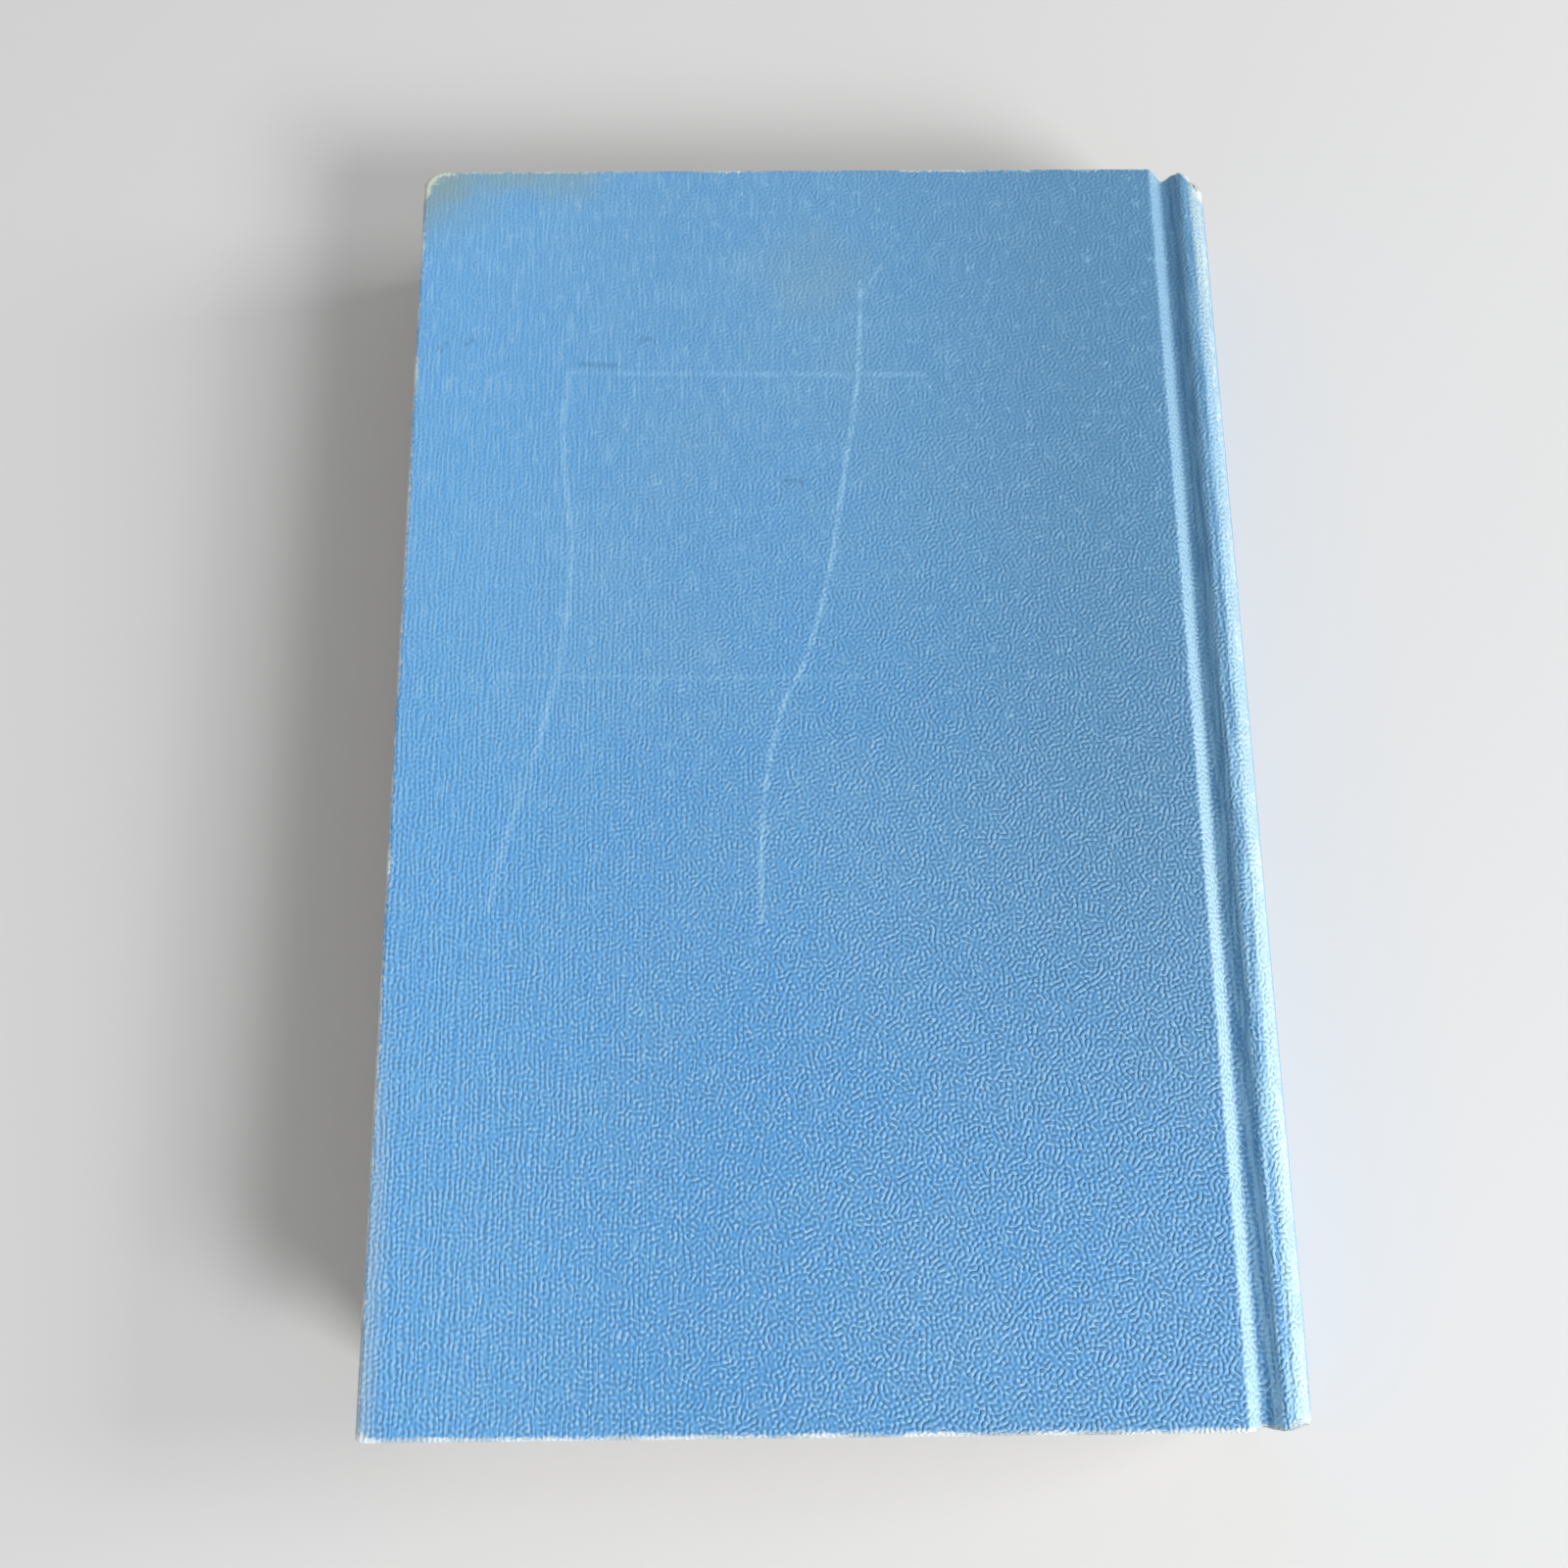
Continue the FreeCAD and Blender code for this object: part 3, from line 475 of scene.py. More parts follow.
def make_page_edges():
    """Cut edges of the leaves: fine lines along the layers, browned unevenly."""
    nodes = material_nodes("page edges")
    layers = nodes.layer("layers")
    lines = nodes.noise(nodes.scaled(layers, (0.02, 9.0, 1)), 1.0, detail=4.0, roughness=0.7)
    groups = nodes.noise(nodes.scaled(layers, (0.004, 0.9, 1)), 1.0, detail=2.0)
    age = nodes.noise(layers, 0.05, detail=3.0)
    colour = nodes.mix(nodes.step(lines, 0.35, 0.65), rgba(0.52, 0.43, 0.29), rgba(0.80, 0.72, 0.56))
    colour = nodes.mix(nodes.step(groups, 0.4, 0.7, 0.0, 0.4), colour, rgba(0.55, 0.45, 0.30))
    colour = nodes.mix(nodes.step(age, 0.45, 0.75, 0.0, 0.3), colour, rgba(0.62, 0.50, 0.33))
    normal = nodes.bump(lines, 0.12 * MM, 0.9)
    return nodes.surface(colour, nodes.step(lines, 0.3, 0.7, 0.95, 0.8), normal)


def make_paper(name, light, dark):
    """Uncoated paper: faint fibres, foxing and a little tooth."""
    nodes = material_nodes(name)
    plan = nodes.layer("plan")
    fibres = nodes.noise(nodes.scaled(plan, (0.7, 2.4, 1)), 1.4, detail=5.0, roughness=0.65)
    age = nodes.noise(plan, 0.025, detail=4.0)
    foxing = nodes.step(nodes.noise(plan, 0.3, detail=1.0), 0.74, 0.80, 0.0, 0.3)
    colour = nodes.mix(nodes.step(age, 0.3, 0.8, 0.0, 0.6), light, dark)
    colour = nodes.mix(nodes.step(fibres, 0.4, 0.75, 0.0, 0.2), colour, dark)
    colour = nodes.mix(foxing, colour, rgba(0.50, 0.33, 0.16))
    normal = nodes.bump(fibres, 0.03 * MM, 0.5)
    return nodes.surface(colour, nodes.step(fibres, 0.3, 0.7, 0.92, 0.8), normal)


def make_board():
    """Grey-brown pasteboard with specks of pulp."""
    nodes = material_nodes("pasteboard")
    place = nodes.scaled(nodes.add("ShaderNodeTexCoord").outputs["Object"], (1000, 1000, 1000))
    pulp = nodes.noise(place, 2.2, detail=5.0, roughness=0.7)
    cloud = nodes.noise(place, 0.08, detail=3.0)
    colour = nodes.mix(nodes.step(pulp, 0.35, 0.7), rgba(0.24, 0.20, 0.15), rgba(0.40, 0.35, 0.27))
    colour = nodes.mix(nodes.step(cloud, 0.4, 0.7, 0.0, 0.4), colour, rgba(0.30, 0.26, 0.20))
    return nodes.surface(colour, nodes.step(pulp, 0.3, 0.7, 0.95, 0.85), nodes.bump(pulp, 0.06 * MM, 0.6))


def make_gauze():
    """Stiff open gauze: two sets of threads with dark glue between them."""
    nodes = material_nodes("gauze")
    plan = nodes.layer("plan")
    turn = 2 * math.pi / GAUZE_PITCH
    warp, weft = [nodes.maths("SINE", nodes.times(along, turn)) for along in nodes.split(plan)]
    threads = nodes.maths("MAXIMUM", warp, weft)
    slub = nodes.noise(plan, 0.8, detail=3.0)
    colour = nodes.mix(nodes.step(threads, 0.2, 0.8), rgba(0.42, 0.34, 0.22), rgba(0.74, 0.70, 0.60))
    colour = nodes.mix(nodes.step(slub, 0.4, 0.7, 0.0, 0.4), colour, rgba(0.58, 0.52, 0.42))
    return nodes.surface(colour, nodes.step(slub, 0.3, 0.7, 0.75, 0.92), nodes.bump(threads, 0.1 * MM, 0.7))


def make_thread(name, first, second, pitch):
    """Twisted thread, or ribs of two colours when they differ."""
    nodes = material_nodes(name)
    along = nodes.layer("plan")
    length, turn = nodes.split(along)
    phase = nodes.maths("MULTIPLY_ADD", turn, 0.6, length)
    twist = nodes.maths("SINE", nodes.times(phase, 2 * math.pi / pitch))
    fuzz = nodes.noise(along, 3.0, detail=4.0)
    colour = nodes.mix(nodes.step(twist, -0.3, 0.3), first, second)
    colour = nodes.mix(nodes.step(fuzz, 0.4, 0.7, 0.0, 0.3), colour, rgba(0.55, 0.50, 0.42))
    return nodes.surface(colour, nodes.step(fuzz, 0.3, 0.7, 0.7, 0.9), nodes.bump(twist, 0.08 * MM, 0.6))


# Meshes

def wave(x, y, size, seed=0.0):
    """Smooth noise from -1 to 1 with features of about this size."""
    return noise.noise(Vector((x / size, y / size, seed)))


def smooth(value, low, high):
    share = min(max((value - low) / (high - low), 0.0), 1.0)
    return share * share * (3 - 2 * share)


def frame_point(x, y, z):
    """Point of the section in the shared frame, in metres."""
    return Vector(((x + SECTION_SHIFT) * MM, y * MM, (z + HALF_THICKNESS) * MM))


def build_mesh(name, vertices, faces, material, layers=None, wear_and_highlight=None):
    """Make an object; layers maps a UV layer's name to one coordinate pair for each vertex."""
    mesh = bpy.data.meshes.new(name)
    mesh.from_pydata(vertices, [], faces)
    for layer_name, pairs in (layers or {}).items():
        layer = mesh.uv_layers.new(name=layer_name)
        for loop in mesh.loops:
            layer.data[loop.index].uv = pairs[loop.vertex_index]
    if wear_and_highlight is not None:
        attribute = mesh.attributes.new("wear_and_highlight", "FLOAT", "POINT")
        attribute.data.foreach_set("value", wear_and_highlight)
    mesh.polygons.foreach_set("use_smooth", [True] * len(mesh.polygons))
    mesh.materials.append(material)
    mesh.update()
    thing = bpy.data.objects.new(name, mesh)
    bpy.context.scene.collection.objects.link(thing)
    return thing


def grid_faces(first, rows, columns, flip=False, keep=None):
    """Quads of a grid whose vertices start at an index and run row by row."""
    faces = []
    for row in range(rows - 1):
        for column in range(columns - 1):
            if keep and not keep(row, column):
                continue
            corner = first + row * columns + column
            face = (corner, corner + 1, corner + columns + 1, corner + columns)
            faces.append(face[::-1] if flip else face)
    return faces


def ring_faces(first, rings, sides):
    """Quads between closed rings of vertices that start at an index."""
    faces = []
    for ring in range(rings - 1):
        for corner in range(sides):
            here = first + ring * sides + corner
            after = first + ring * sides + (corner + 1) % sides
            faces.append((here, after, after + sides, here + sides))
    return faces


def spaced(start, end, step):
    """Evenly spaced values from start to end, both included."""
    count = max(1, round(abs(end - start) / step))
    return [start + (end - start) * index / count for index in range(count + 1)]


def rounded_path(corners, step):
    """Points along a path of (x, z, rounding) corners."""
    points = [Vector(corners[0][:2])]
    for before, here, after in zip(corners, corners[1:], corners[2:]):
        middle = Vector(here[:2])
        inward = (Vector(before[:2]) - middle).normalized()
        outward = (Vector(after[:2]) - middle).normalized()
        half_angle = inward.angle(outward) / 2
        reach = here[2] / math.tan(half_angle)
        arrive = middle + inward * reach
        depart = middle + outward * reach
        add_line(points, arrive, step)
        centre = middle + (inward + outward).normalized() * (here[2] / math.sin(half_angle))
        sweep = (arrive - centre).angle_signed(depart - centre)
        turns = max(2, math.ceil(abs(sweep) * here[2] / (0.6 * step)))
        for index in range(1, turns + 1):
            spoke = arrive - centre
            spoke.rotate(Matrix.Rotation(-sweep * index / turns, 2))
            points.append(centre + spoke)
    add_line(points, Vector(corners[-1][:2]), step)
    return points


def add_line(points, end, step):
    start = points[-1]
    count = max(1, math.ceil((end - start).length / step))
    for index in range(1, count + 1):
        points.append(start.lerp(end, index / count))


def path_normals(points):
    """Unit normals to the left of the direction of travel."""
    normals = []
    for index in range(len(points)):
        ahead = points[min(index + 1, len(points) - 1)]
        behind = points[max(index - 1, 0)]
        along = (ahead - behind).normalized()
        normals.append(Vector((along.y, -along.x)))
    return normals


def path_lengths(points):
    lengths = [0.0]
    for before, after in zip(points, points[1:]):
        lengths.append(lengths[-1] + (after - before).length)
    return lengths


# Cloth of one half of the case

# distances from the outline of the first rows and columns, and the step between the others
EDGE_STEPS = (0.0, 0.03, 0.1, 0.22, 0.4, 0.65, 0.95, 1.5)
CLOTH_STEP = 1.25
# where the spine's arc gives way to the shoulder's rounding
ARC_TOP_LEVEL = 11.4
SHOULDER_ROUND = 4.0
CREST_ROUND = 2.0
GROOVE_ROUND = 1.3
# how far fraying and the drawn back ends of the cloth reach inwards
FRAY_REACH = 1.6
CAP_REACH = 6.0
INNER_WEAR = 0.6


def edge_rows():
    """Positions along the height, close together at head and tail."""
    middle = spaced(-HALF_HEIGHT + EDGE_STEPS[-1], HALF_HEIGHT - EDGE_STEPS[-1], CLOTH_STEP)
    low = [-HALF_HEIGHT + step for step in EDGE_STEPS[:-1]]
    high = [HALF_HEIGHT - step for step in reversed(EDGE_STEPS[:-1])]
    return low + middle + high


def arc_x(out, level):
    return SPINE_CENTRE + math.sqrt((SPINE_RADIUS + out) ** 2 - level**2)


def cloth_path():
    """Outside of the cloth from the middle of the spine over the shoulder to the fore-edge."""
    levels = spaced(0.0, ARC_TOP_LEVEL, 1.1)
    spine = [Vector((arc_x(SPINE_CLOTH_OUT, level), level)) for level in levels]
    corners = [
        (spine[-1].x, spine[-1].y, 0),
        (arc_x(SPINE_CLOTH_OUT, CREST_FACE), CREST_FACE, SHOULDER_ROUND),
        (CREST_X, CREST_FACE, CREST_ROUND),
        (VALLEY_X, VALLEY_FACE, GROOVE_ROUND),
        (LIP_X, HALF_THICKNESS, GROOVE_ROUND),
        (LIP_X - 3.0, HALF_THICKNESS, 0),
    ]
    path = spine[:-1] + rounded_path(corners, 0.3)
    fore_edge = -COVER_REACH
    flat = spaced(path[-1].x, fore_edge + EDGE_STEPS[-1], CLOTH_STEP)[1:]
    flat += [fore_edge + step for step in reversed(EDGE_STEPS[:-1])]
    return path + [Vector((x, HALF_THICKNESS)) for x in flat]


def cloth_inside(point, normal):
    """Point of the cloth's inner side under a point of its outside."""
    if point.x <= VALLEY_X:
        return Vector((point.x, CLOTH_UNDERSIDE))
    share = min(max((point.x - CREST_X) / (SPINE_RISE - CREST_X), 0.0), 1.0)
    depth = CLOTH_DOUBLED + (SPINE_CLOTH_DEPTH - CLOTH_DOUBLED) * share
    return point - normal * depth


def plan_corner(x, y, rounding_at):
    """Round the fore-edge corners in plan; also gives the distance to the cover's outline."""
    end = 1 if y > 0 else -1
    rounding = rounding_at(end)
    from_edge = x + COVER_REACH
    from_end = HALF_HEIGHT - abs(y)
    if from_edge >= rounding or from_end >= rounding:
        return x, y, min(from_edge, from_end)
    across = rounding - from_edge
    along = rounding - from_end
    reach = max(across, along)
    shrink = reach / math.hypot(across, along) if reach > 0 else 1.0
    return (
        -COVER_REACH + rounding - across * shrink,
        end * (HALF_HEIGHT - rounding + along * shrink),
        rounding - reach,
    )


def wall_share(distance):
    """How far apart the two faces of a cover are at a distance from its outline, from 0 to 1."""
    if distance >= WALL_ROUND:
        return 1.0
    return (1 - (1 - distance / WALL_ROUND) ** WALL_SHARPNESS) ** (1 / WALL_SHARPNESS)


def edge_wear_and_highlight(x, y, distance, is_back):
    """How worn the cloth is near the outline, from 0 to 1; the extra at the tail's rim and the even band
    along the spine's edge are partly a painted highlight.
    """
    near = math.exp(-((max(distance, 0) / 1.4) ** 2))
    # the tail's rim is made paler, partly as a painted highlight where the rim catches the light
    tail_rim_rub_and_highlight = smooth(-y, 109.0, 110.5)
    wear_and_highlight = (0.62 + 0.16 * tail_rim_rub_and_highlight) * near * (0.9 + 0.45 * wave(x, y, 9, 3))
    if x > VALLEY_X:
        end = HALF_HEIGHT - abs(y)
        cap = math.exp(-end / 5.0) if y > 0 else math.exp(-end / 2.6)
        turn = smooth(x, 0.4, 1.8) * (1 - smooth(x, 3.2, 4.4))
        rim = math.exp(-((end / 2.0) ** 2)) * smooth(x, CREST_X - 1.0, 0.0)
        # an even pale band along the spine's edge: partly wear, partly a painted highlight
        edge = (0.44 + 0.08 * wave(x, y, 14, 6)) * turn
        wear_and_highlight = max(wear_and_highlight, 0.85 * rim, (0.35 + 0.65 * turn) * cap, edge)
    if is_back:
        place = Vector((x + SECTION_SHIFT, y))
        corner = (place - WORN_CORNER).length
        tuft = (place - TUFTED_CORNER).length
        worn_corner = 0.8 * math.exp(-((corner / 7.5) ** 2)) * (0.5 + near)
        wear_and_highlight = max(wear_and_highlight, worn_corner, math.exp(-((tuft / 1.5) ** 2)))
    return min(wear_and_highlight, 1.0)


def ragged_inset(x, y, distance):
    """How far the outline is frayed back from its straight run, in millimetres."""
    fall = math.exp(-max(distance, 0) / FRAY_REACH)
    inset = 0.07 * (1 + wave(x, y, 2.1, 7)) + 0.05 * (1 + wave(x, y, 0.7, 11))
    return inset * fall


def cap_wear(x, y, is_back):
    """How far the cloth is drawn or worn back from head or tail over groove and spine, in millimetres."""
    groove = math.exp(-(((x - VALLEY_X) / 1.2) ** 2))
    corner = smooth(x, -1.8, 1.9) * (1 - smooth(x, 2.4, 4.8))
    drawn_back, worn_off, spine_end = CAP_WEAR["back" if is_back else "front", "head" if y > 0 else "tail"]
    ragged = 0.8 + 0.4 * wave(x, y, 1.1, 5)
    past_groove = smooth(x, VALLEY_X + 0.5, CREST_X - 0.2)
    return drawn_back * groove + (worn_off * corner + spine_end * past_groove) * ragged


def surface_dip(x, y):
    """Slow unevenness of a cover, and folds between groove and spine; always downwards."""
    dip = 0.05 * (1 + wave(x, y, 26, 1)) + 0.02 * (1 + wave(x, y, 6, 2))
    towards_tail = smooth(-y, -110.0, 90.0)
    if x > VALLEY_X - 0.6:
        folds = 1 + wave(x * FOLD_STRETCH, y, 16, 12)
        share = smooth(x, VALLEY_X - 0.6, VALLEY_X + 0.8) * (1 - smooth(x, 2.5, 4.0))
        dip += (0.06 + 0.12 * towards_tail) * folds * share
        from_end = HALF_HEIGHT - abs(y)
        crumple = 0.2 + 1.1 * max(0.0, wave(1.5 * x + 0.8 * y, y, 1.9, 9))
        dip += math.exp(-from_end / 4.5) * smooth(x, VALLEY_X + 0.5, 0.2) * crumple
    if x > CREST_X:
        pleat_x = -0.3 + 0.5 * wave(0, y, 13, 8)
        pleat = math.exp(-(((x - pleat_x) / 0.75) ** 2))
        dip += 0.24 * pleat * smooth(-y, 35.0, 85.0)
    return min(dip, DEEPEST_DIP)


def build_cloth(half, material, name):
    """One half of the case's cloth, from the middle of the spine to the turn-ins of its board."""
    is_back = half > 0
    path = cloth_path()
    normals = path_normals(path)
    lengths = path_lengths(path)
    rows = edge_rows()

    def rounding_at(end):
        return WORN_ROUND if is_back and end > 0 else PLAIN_ROUND

    sides = [{"places": [], "fabric": [], "plan": [], "wear_and_highlight": []} for _ in range(2)]
    for y in rows:
        for point, normal, length in zip(path, normals, lengths):
            inside = cloth_inside(point, normal)
            x, plan_y, distance = plan_corner(point.x, y, rounding_at)
            if point.x > VALLEY_X:
                distance = HALF_HEIGHT - abs(y)
            share = wall_share(distance)
            inset = ragged_inset(x, plan_y, distance)
            outside = point - normal * (surface_dip(x, plan_y) * min(1.0, abs(point.y) / 8))
            middle = (outside + inside) / 2
            end_sign = 1 if plan_y > 0 else -1
            from_end = HALF_HEIGHT - abs(plan_y)
            pulled_y = plan_y - end_sign * inset * math.exp(-from_end / FRAY_REACH)
            if point.x > LIP_X:
                pulled_y -= end_sign * cap_wear(point.x, y, is_back) * math.exp(-from_end / CAP_REACH)
            shift = x - point.x
            if x < -COVER_REACH + 2 and distance < from_end + 0.5:
                shift += inset
            round_wall = (1 - share) * WALL_HALF
            at_fore_edge = point.x + COVER_REACH < from_end
            across = half * (length + at_fore_edge * round_wall)
            along = y + (not at_fore_edge) * end_sign * round_wall
            wear_and_highlight_here = edge_wear_and_highlight(x, plan_y, distance, is_back)
            for index, (target, wear_share) in enumerate(((outside, 1.0), (inside, INNER_WEAR))):
                side = sides[index]
                place = middle + (target - middle) * share
                away = index * INNER_SHIFT
                side["places"].append(frame_point(place.x + shift, pulled_y, half * place.y))
                side["fabric"].append((across + away, along))
                side["plan"].append((x + SECTION_SHIFT + away, plan_y))
                side["wear_and_highlight"].append(wear_share * wear_and_highlight_here)

    columns = len(path)
    window_half = HALF_HEIGHT - TURN_IN

    def turned_in(row, column):
        x = path[column].x
        under_board = -COVER_REACH + TURN_IN < x < -GAUZE_REACH
        return not (under_board and abs(rows[row]) < window_half)

    faces = grid_faces(0, len(rows), columns, flip=not is_back)
    faces += grid_faces(columns * len(rows), len(rows), columns, flip=is_back, keep=turned_in)
    both = {key: sides[0][key] + sides[1][key] for key in sides[0]}
    layers = {key: both[key] for key in ("fabric", "plan")}
    return build_mesh(name, both["places"], faces, material, layers, both["wear_and_highlight"])


def bend_with(thing):
    """Bake the placement of a piece that crosses the joint between the block and its cover into its mesh.
    """
    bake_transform(thing)


# Paper and gauze sheets

FLYLEAF_DEPTH = CREST_FACE - BLOCK_CREST - 0.1
# the endpapers need close points from their fold down to here
NEAR_JOINT = -12.0
# width over which the pastedown climbs a turn-in or the gauze
CLIMB = 1.8


def build_sheet(name, path, half, half_height, thickness, material, lift=None):
    """Thin closed sheet along a path of the section, the same over its whole height."""
    normals = path_normals(path)
    lengths = path_lengths(path)
    rows = spaced(-half_height, half_height, 4.0)
    vertices = []
    pairs = []
    for side in (0.5, -0.5):
        for y in rows:
            for point, normal, length in zip(path, normals, lengths):
                raised = lift(point.x, y) if lift else 0.0
                place = point + normal * (side * thickness) + Vector((0, raised))
                vertices.append(frame_point(place.x, y, half * place.y))
                pairs.append((length, y))
    columns = len(path)
    count = len(rows) * columns
    forward = half > 0
    faces = grid_faces(0, len(rows), columns, flip=not forward)
    faces += grid_faces(count, len(rows), columns, flip=forward)
    last_row = (len(rows) - 1) * columns
    edges = [(row * columns + side, columns) for row in range(len(rows) - 1) for side in (0, columns - 1)]
    edges += [(end + column, 1) for column in range(columns - 1) for end in (0, last_row)]
    for near, step in edges:
        faces.append((near, near + step, near + step + count, near + count))
    return build_mesh(name, vertices, faces, material, {"plan": pairs})


def shoulder_corner(depth):
    """Corner of a layer, this far under the cloth's outside, at the top of the slope."""
    return CREST_X + depth * math.tan(SLOPE / 2), CREST_FACE - depth


def foot_corner(depth, level):
    """Corner of a layer where it leaves its level and climbs the shoulder."""
    top_x, top_z = shoulder_corner(depth)
    return top_x - (top_z - level) / math.tan(SLOPE), level


def endpaper_path(start_x, depth, level, rounding, step, far_step):
    """Half of an endpaper, from its fold on the shoulder down to its level and on to the fore-edge."""
    top_rounding, foot_rounding = rounding
    corners = [
        (start_x, CREST_FACE - depth, 0),
        (*shoulder_corner(depth), top_rounding),
        (*foot_corner(depth, level), foot_rounding),
        (NEAR_JOINT, level, 0),
    ]
    path = rounded_path(corners, step)
    return path + [Vector((x, level)) for x in spaced(NEAR_JOINT, -PAGE_REACH, far_step)[1:]]


def flyleaf_path():
    return endpaper_path(-0.4, FLYLEAF_DEPTH, FLYLEAF_MIDDLE, (0.3, 1.2), 0.5, 3.0)


def pastedown_path():
    return endpaper_path(-0.6, FLYLEAF_DEPTH - 0.35, PASTE_MIDDLE, (0.4, 1.1), 0.35, 1.2)


def pastedown_lift(x, y):
    """The pastedown sinks on to the board between the turn-ins and the gauze."""
    fore_edge = smooth(x, -COVER_REACH + TURN_IN, -COVER_REACH + TURN_IN + CLIMB)
    joint = smooth(-x, GAUZE_REACH, GAUZE_REACH + CLIMB)
    ends = smooth(HALF_HEIGHT - TURN_IN - abs(y), 0.0, CLIMB)
    return FABRIC * fore_edge * joint * ends


def spine_path(out, top_level):
    return [Vector((arc_x(out, level), level)) for level in spaced(-top_level, top_level, 0.8)]


# Leaves

LAYER_COUNT = 84
LAYER_JITTER = 0.1
# where the outer leaves bend up to the shoulder
BACKING_SLOPE = (-3.7, -1.4)
# texture places of the fore-edge lie this far from those of head and tail
SIDE_SHIFT = 300.0


def build_page_block(material):
    """The leaves: their cut edges are stepped a little, the spine is rounded and backed."""
    shares = spaced(0.0, 0.95, 0.05) + spaced(0.965, 1.0, 0.0035)
    up = spaced(-PAGE_HALF_HEIGHT, PAGE_HALF_HEIGHT, 6.0)
    layers = spaced(-1.0, 1.0, 2 / LAYER_COUNT)
    vertices = []
    pairs = []

    def point(share, y, layer):
        level = layer * BLOCK_FACE
        jitter = LAYER_JITTER * wave(layer * 60, 0, 1, 2)
        hollow = SPINE_RISE * (1 - layer**2)
        left = -PAGE_REACH + hollow + jitter * 0.6
        right = SPINE_CENTRE + math.sqrt(SPINE_RADIUS**2 - (layer * BLOCK_CREST) ** 2)
        x = left + (right - left) * share
        rise = smooth(x, *BACKING_SLOPE) * (BLOCK_CREST - BLOCK_FACE)
        end_jitter = abs(jitter) if abs(y) == PAGE_HALF_HEIGHT else 0.0
        height = y + math.copysign(1, y) * (end_jitter - LAYER_JITTER)
        return frame_point(x, height, level + layer * rise)

    def add_surface(spots, flip, pair_at):
        first = len(vertices)
        for row in spots:
            for share, y, layer in row:
                vertices.append(point(share, y, layer))
                pairs.append(pair_at(share, y, layer * BLOCK_FACE))
        return grid_faces(first, len(spots), len(spots[0]), flip=flip)

    faces = []
    for end, flip in ((-PAGE_HALF_HEIGHT, False), (PAGE_HALF_HEIGHT, True)):
        spots = [[(share, end, layer) for share in shares] for layer in layers]
        faces += add_surface(spots, flip, lambda share, y, level: (share * PAGE_REACH, level))
    for side, flip in ((0.0, True), (1.0, False)):
        spots = [[(side, y, layer) for y in up] for layer in layers]
        faces += add_surface(spots, flip, lambda share, y, level: (y + SIDE_SHIFT, level))
    for face, flip in ((-1.0, True), (1.0, False)):
        spots = [[(share, y, face) for share in shares] for y in up]
        faces += add_surface(spots, flip, lambda share, y, level: (share * PAGE_REACH, y))
    return build_mesh("page_block_leaves", vertices, faces, material, {"layers": pairs})


# Bands and thread

STITCH_ROWS = 6
THREAD_RADIUS = 0.24
BEAD_RADIUS = 0.68
RIB_PITCH = 1.2
BAND_ANGLE = 27
THREAD_ANGLE = 25
# no tube of the book runs in this direction
ASIDE = Vector((1, 0.02, 0.03))


def build_tube(name, centres, radius_at, material, sides=10):
    """Closed tube through centres, with a radius that may change along it."""
    vertices = []
    pairs = []
    length = 0.0
    for index, centre in enumerate(centres):
        ahead = centres[min(index + 1, len(centres) - 1)]
        behind = centres[max(index - 1, 0)]
        along = (ahead - behind).normalized()
        side = along.cross(ASIDE).normalized()
        up = along.cross(side)
        if index:
            length += (centre - centres[index - 1]).length
        radius = radius_at(length)
        for turn in range(sides):
            angle = 2 * math.pi * turn / sides
            rim = centre + (side * math.cos(angle) + up * math.sin(angle)) * radius
            vertices.append(frame_point(*rim))
            pairs.append((length, turn / sides))
    faces = ring_faces(0, len(centres), sides)
    faces.append(tuple(reversed(range(sides))))
    faces.append(tuple(range(len(vertices) - sides, len(vertices))))
    return build_mesh(name, vertices, faces, material, {"plan": pairs})


def arc_points(radius, half_angle, y, count):
    points = []
    for degrees in spaced(-half_angle, half_angle, 2 * half_angle / count):
        angle = math.radians(degrees)
        points.append(Vector((SPINE_CENTRE + radius * math.cos(angle), y, radius * math.sin(angle))))
    return points


def build_band(name, end, material):
    """Ribbed bead over the ends of the leaves."""
    y = end * (PAGE_HALF_HEIGHT + 0.75)

    def ribbed(length):
        return BEAD_RADIUS + 0.07 * math.sin(2 * math.pi * length / RIB_PITCH)

    return build_tube(name, arc_points(SPINE_RADIUS - 0.3, BAND_ANGLE, y, 150), ribbed, material)


def build_sewing(material):
    """Thread that crosses the spine in rows, joined along the outer sections in turn."""
    step = 2 * PAGE_HALF_HEIGHT / (STITCH_ROWS + 1)
    centres = []
    for row in range(STITCH_ROWS):
        y = (row - (STITCH_ROWS - 1) / 2) * step
        arc = arc_points(SPINE_RADIUS - 0.35, THREAD_ANGLE, y, 24)
        centres += arc if row % 2 == 0 else arc[::-1]
    return build_tube("sewing_thread_run", centres, lambda length: THREAD_RADIUS, material, sides=6)


# Frayed threads at the worn ends of the spine and the corners

FRAYS = [
    # from x to x in the frame, head or tail, how many, radius, body
    (66.4, 70.7, 1, 60, 0.06, "text_block"),
    (66.4, 70.9, -1, 32, 0.055, "text_block"),
    (-74.2, -72.9, -1, 7, 0.12, "back_cover"),
    (-74.3, -67.0, 1, 46, 0.06, "back_cover"),
    (-67.0, -46.0, 1, 30, 0.045, "back_cover"),
    (48.0, 65.8, -1, 18, 0.055, "back_cover"),
]
FIBRE_STEPS = 4
FIBRE_SIDES = 3
FIBRE_LEVEL = 27.5


